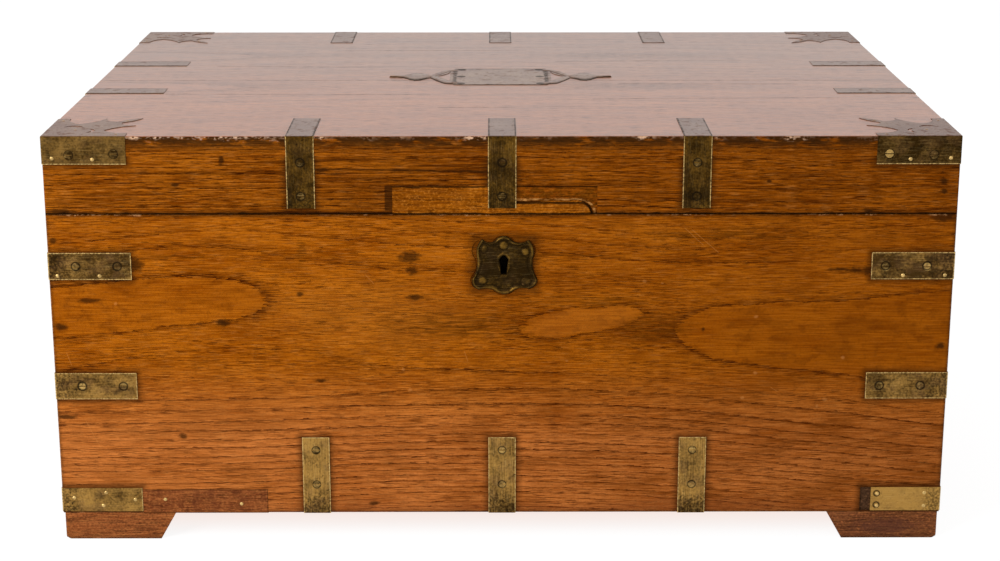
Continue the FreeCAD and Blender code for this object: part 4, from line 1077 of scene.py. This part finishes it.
for place, size in bosses:
    gap = np.hypot(radius * np.cos(angles) - place[0], radius * np.sin(angles) - place[1])
    beads = np.maximum(beads, np.exp(-(gap / size) ** 4))
    groove = np.maximum(groove, ridge(gap, size + 1.2, 0.7))
forward = sheet_thick + bead_high * beads - groove_deep * groove
radius = np.concatenate([inner[None], radius, outer[None]])
forward = np.concatenate([np.full((1, spokes), -2.0), forward, np.full((1, spokes), -0.5)])
relief = np.pad(beads - groove * 0.6, ((1, 1), (0, 0)))
sheet = np.stack([
    key_middle[0] + radius * np.cos(angles), -half_depth - forward, key_middle[1] + radius * np.sin(angles)
], -1)
key_plate = grid_mesh("chased_key_plate", [sheet / 1000], closed=True)
key_plate.data.attributes.new("relief", "FLOAT", "POINT").data.foreach_set("value", relief.ravel())
key_brass = Brass("escutcheon_brass", "x", "z", bloom=0.08, scratched=0.35)
raised = key_brass.node("ShaderNodeAttribute", {"attribute_name": "relief"}, {}, "Fac")
patchy = key_brass.blotches(12, 12, 3.0).rise(0.4, 0.62)
key_brass.tarnish_and_shade = (1 - patchy) * 0.35
rubbed = raised * (0.25 + patchy * 0.4) + 0.1
key_brass.patina(rubbed, tone(42, 27, 5), tone(118, 86, 30))
key_plate.data.materials.append(key_brass.material)
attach(key_plate, "carcass")
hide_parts("escutcheon")

# The lock: inside the front a brass case with an iron bolt and spring. The link plate under the lid
# carries the two lugs that the bolt catches.

lock_metal = Brass("lock_brass", "x", "z")
# Painted shade: the lock case is darkened round the keyhole, inside the board, where it is seen through
# the hole.
key_gap = rectangle_gap(lock_metal.x, key_middle, (4.0, 8.0))
in_board = lock_metal.y.rise(-half_depth + 30.0, -half_depth + 26.0)
lock_metal.tarnish_and_shade = key_gap.rise(6.0, 2.0) * in_board
lock_metal.patina(0.4, tone(40, 28, 10), brass_yellow)
dress(lock_metal, "lock_case", "lock_cap", "lid_link_plate")
iron = Brass("lock_iron", "x", "z")
iron.patina(0.4, tone(52, 44, 38), tone(112, 106, 100))
dress(iron, "lock_bolt", "lock_spring")

# The hinges and handles: cast and filed brass, worn bright where they are handled. Two butt hinges
# are let into the back edges, and each handle is a drop bail between two posts on a plate.

fittings = Brass("hinge_and_handle_brass", "y", "z", bloom=0.1, scratched=0.4)
fittings.patina(0.5, brass_brown, tone(186, 148, 82))
dress(fittings, "hinge_pins", *[
    f"{side}_{piece}" for side in ("left", "right")
    for piece in ("hinge_body_leaf", "hinge_lid_leaf", "handle_plate", "handle_bail")
])

# The fixings: slotted brass screws filed flush, and small round pins rubbed bright on the straps but
# as dark as the plate round the keyhole. The nails of the repair strip have the brass of the pins.

screws = Brass("screw_brass", "xy", "z")
outward = larger(abs(screws.x) - half_width, abs(screws.y) - half_depth)
above = larger(screws.z - lid_crown, body_base - screws.z)
outward = larger(outward, above)
upright_screws = list(product(bottom_strap_places, bottom_screw_levels))
upright_screws += product(lid_strap_places, lid_screw_levels)
rims = nearest([
    screws.screw_rims(screws.from_corner(), screws.z, corner_screws),
    screws.screw_rims(screws.x, screws.z, upright_screws),
])
on_plate = larger(abs(screws.x), abs(screws.y)).rise(70.0, 60.0)
screws.tarnish_and_shade = larger(outward.rise(0.3, 0.0), on_plate * screws.level * 0.9)
screw_wear = screws.curve(
    screws.z, [(20, 0.5), (90, 0.5), (150, 0.4), (265, 0.25), (330, 0.08), (390, 0.08)]
)
kept_bright = [(-385.3, strap_levels[1]), (385.3, strap_levels[0]), (346.0, lid_crown - 16.0)]
bright = screws.screw_rims(screws.x, screws.z, kept_bright, 0.0).rise(8.0, 4.0)
screws.patina(screw_wear + bright * 0.6, lid_brown, tone(190, 154, 88), screw_gap=rims)
dress(screws, "body_screws", "lid_screws")
pins = Brass("pin_brass", "x", "z")
round_key = rectangle_gap(pins.x, key_middle, (25.0, 25.0)).rise(8.0, 2.0)
pins.patina(0.85 - round_key, tone(70, 50, 20), tone(206, 172, 108))
dress(pins, "body_pins", "lid_pins")
nails.data.materials.append(pins.material)
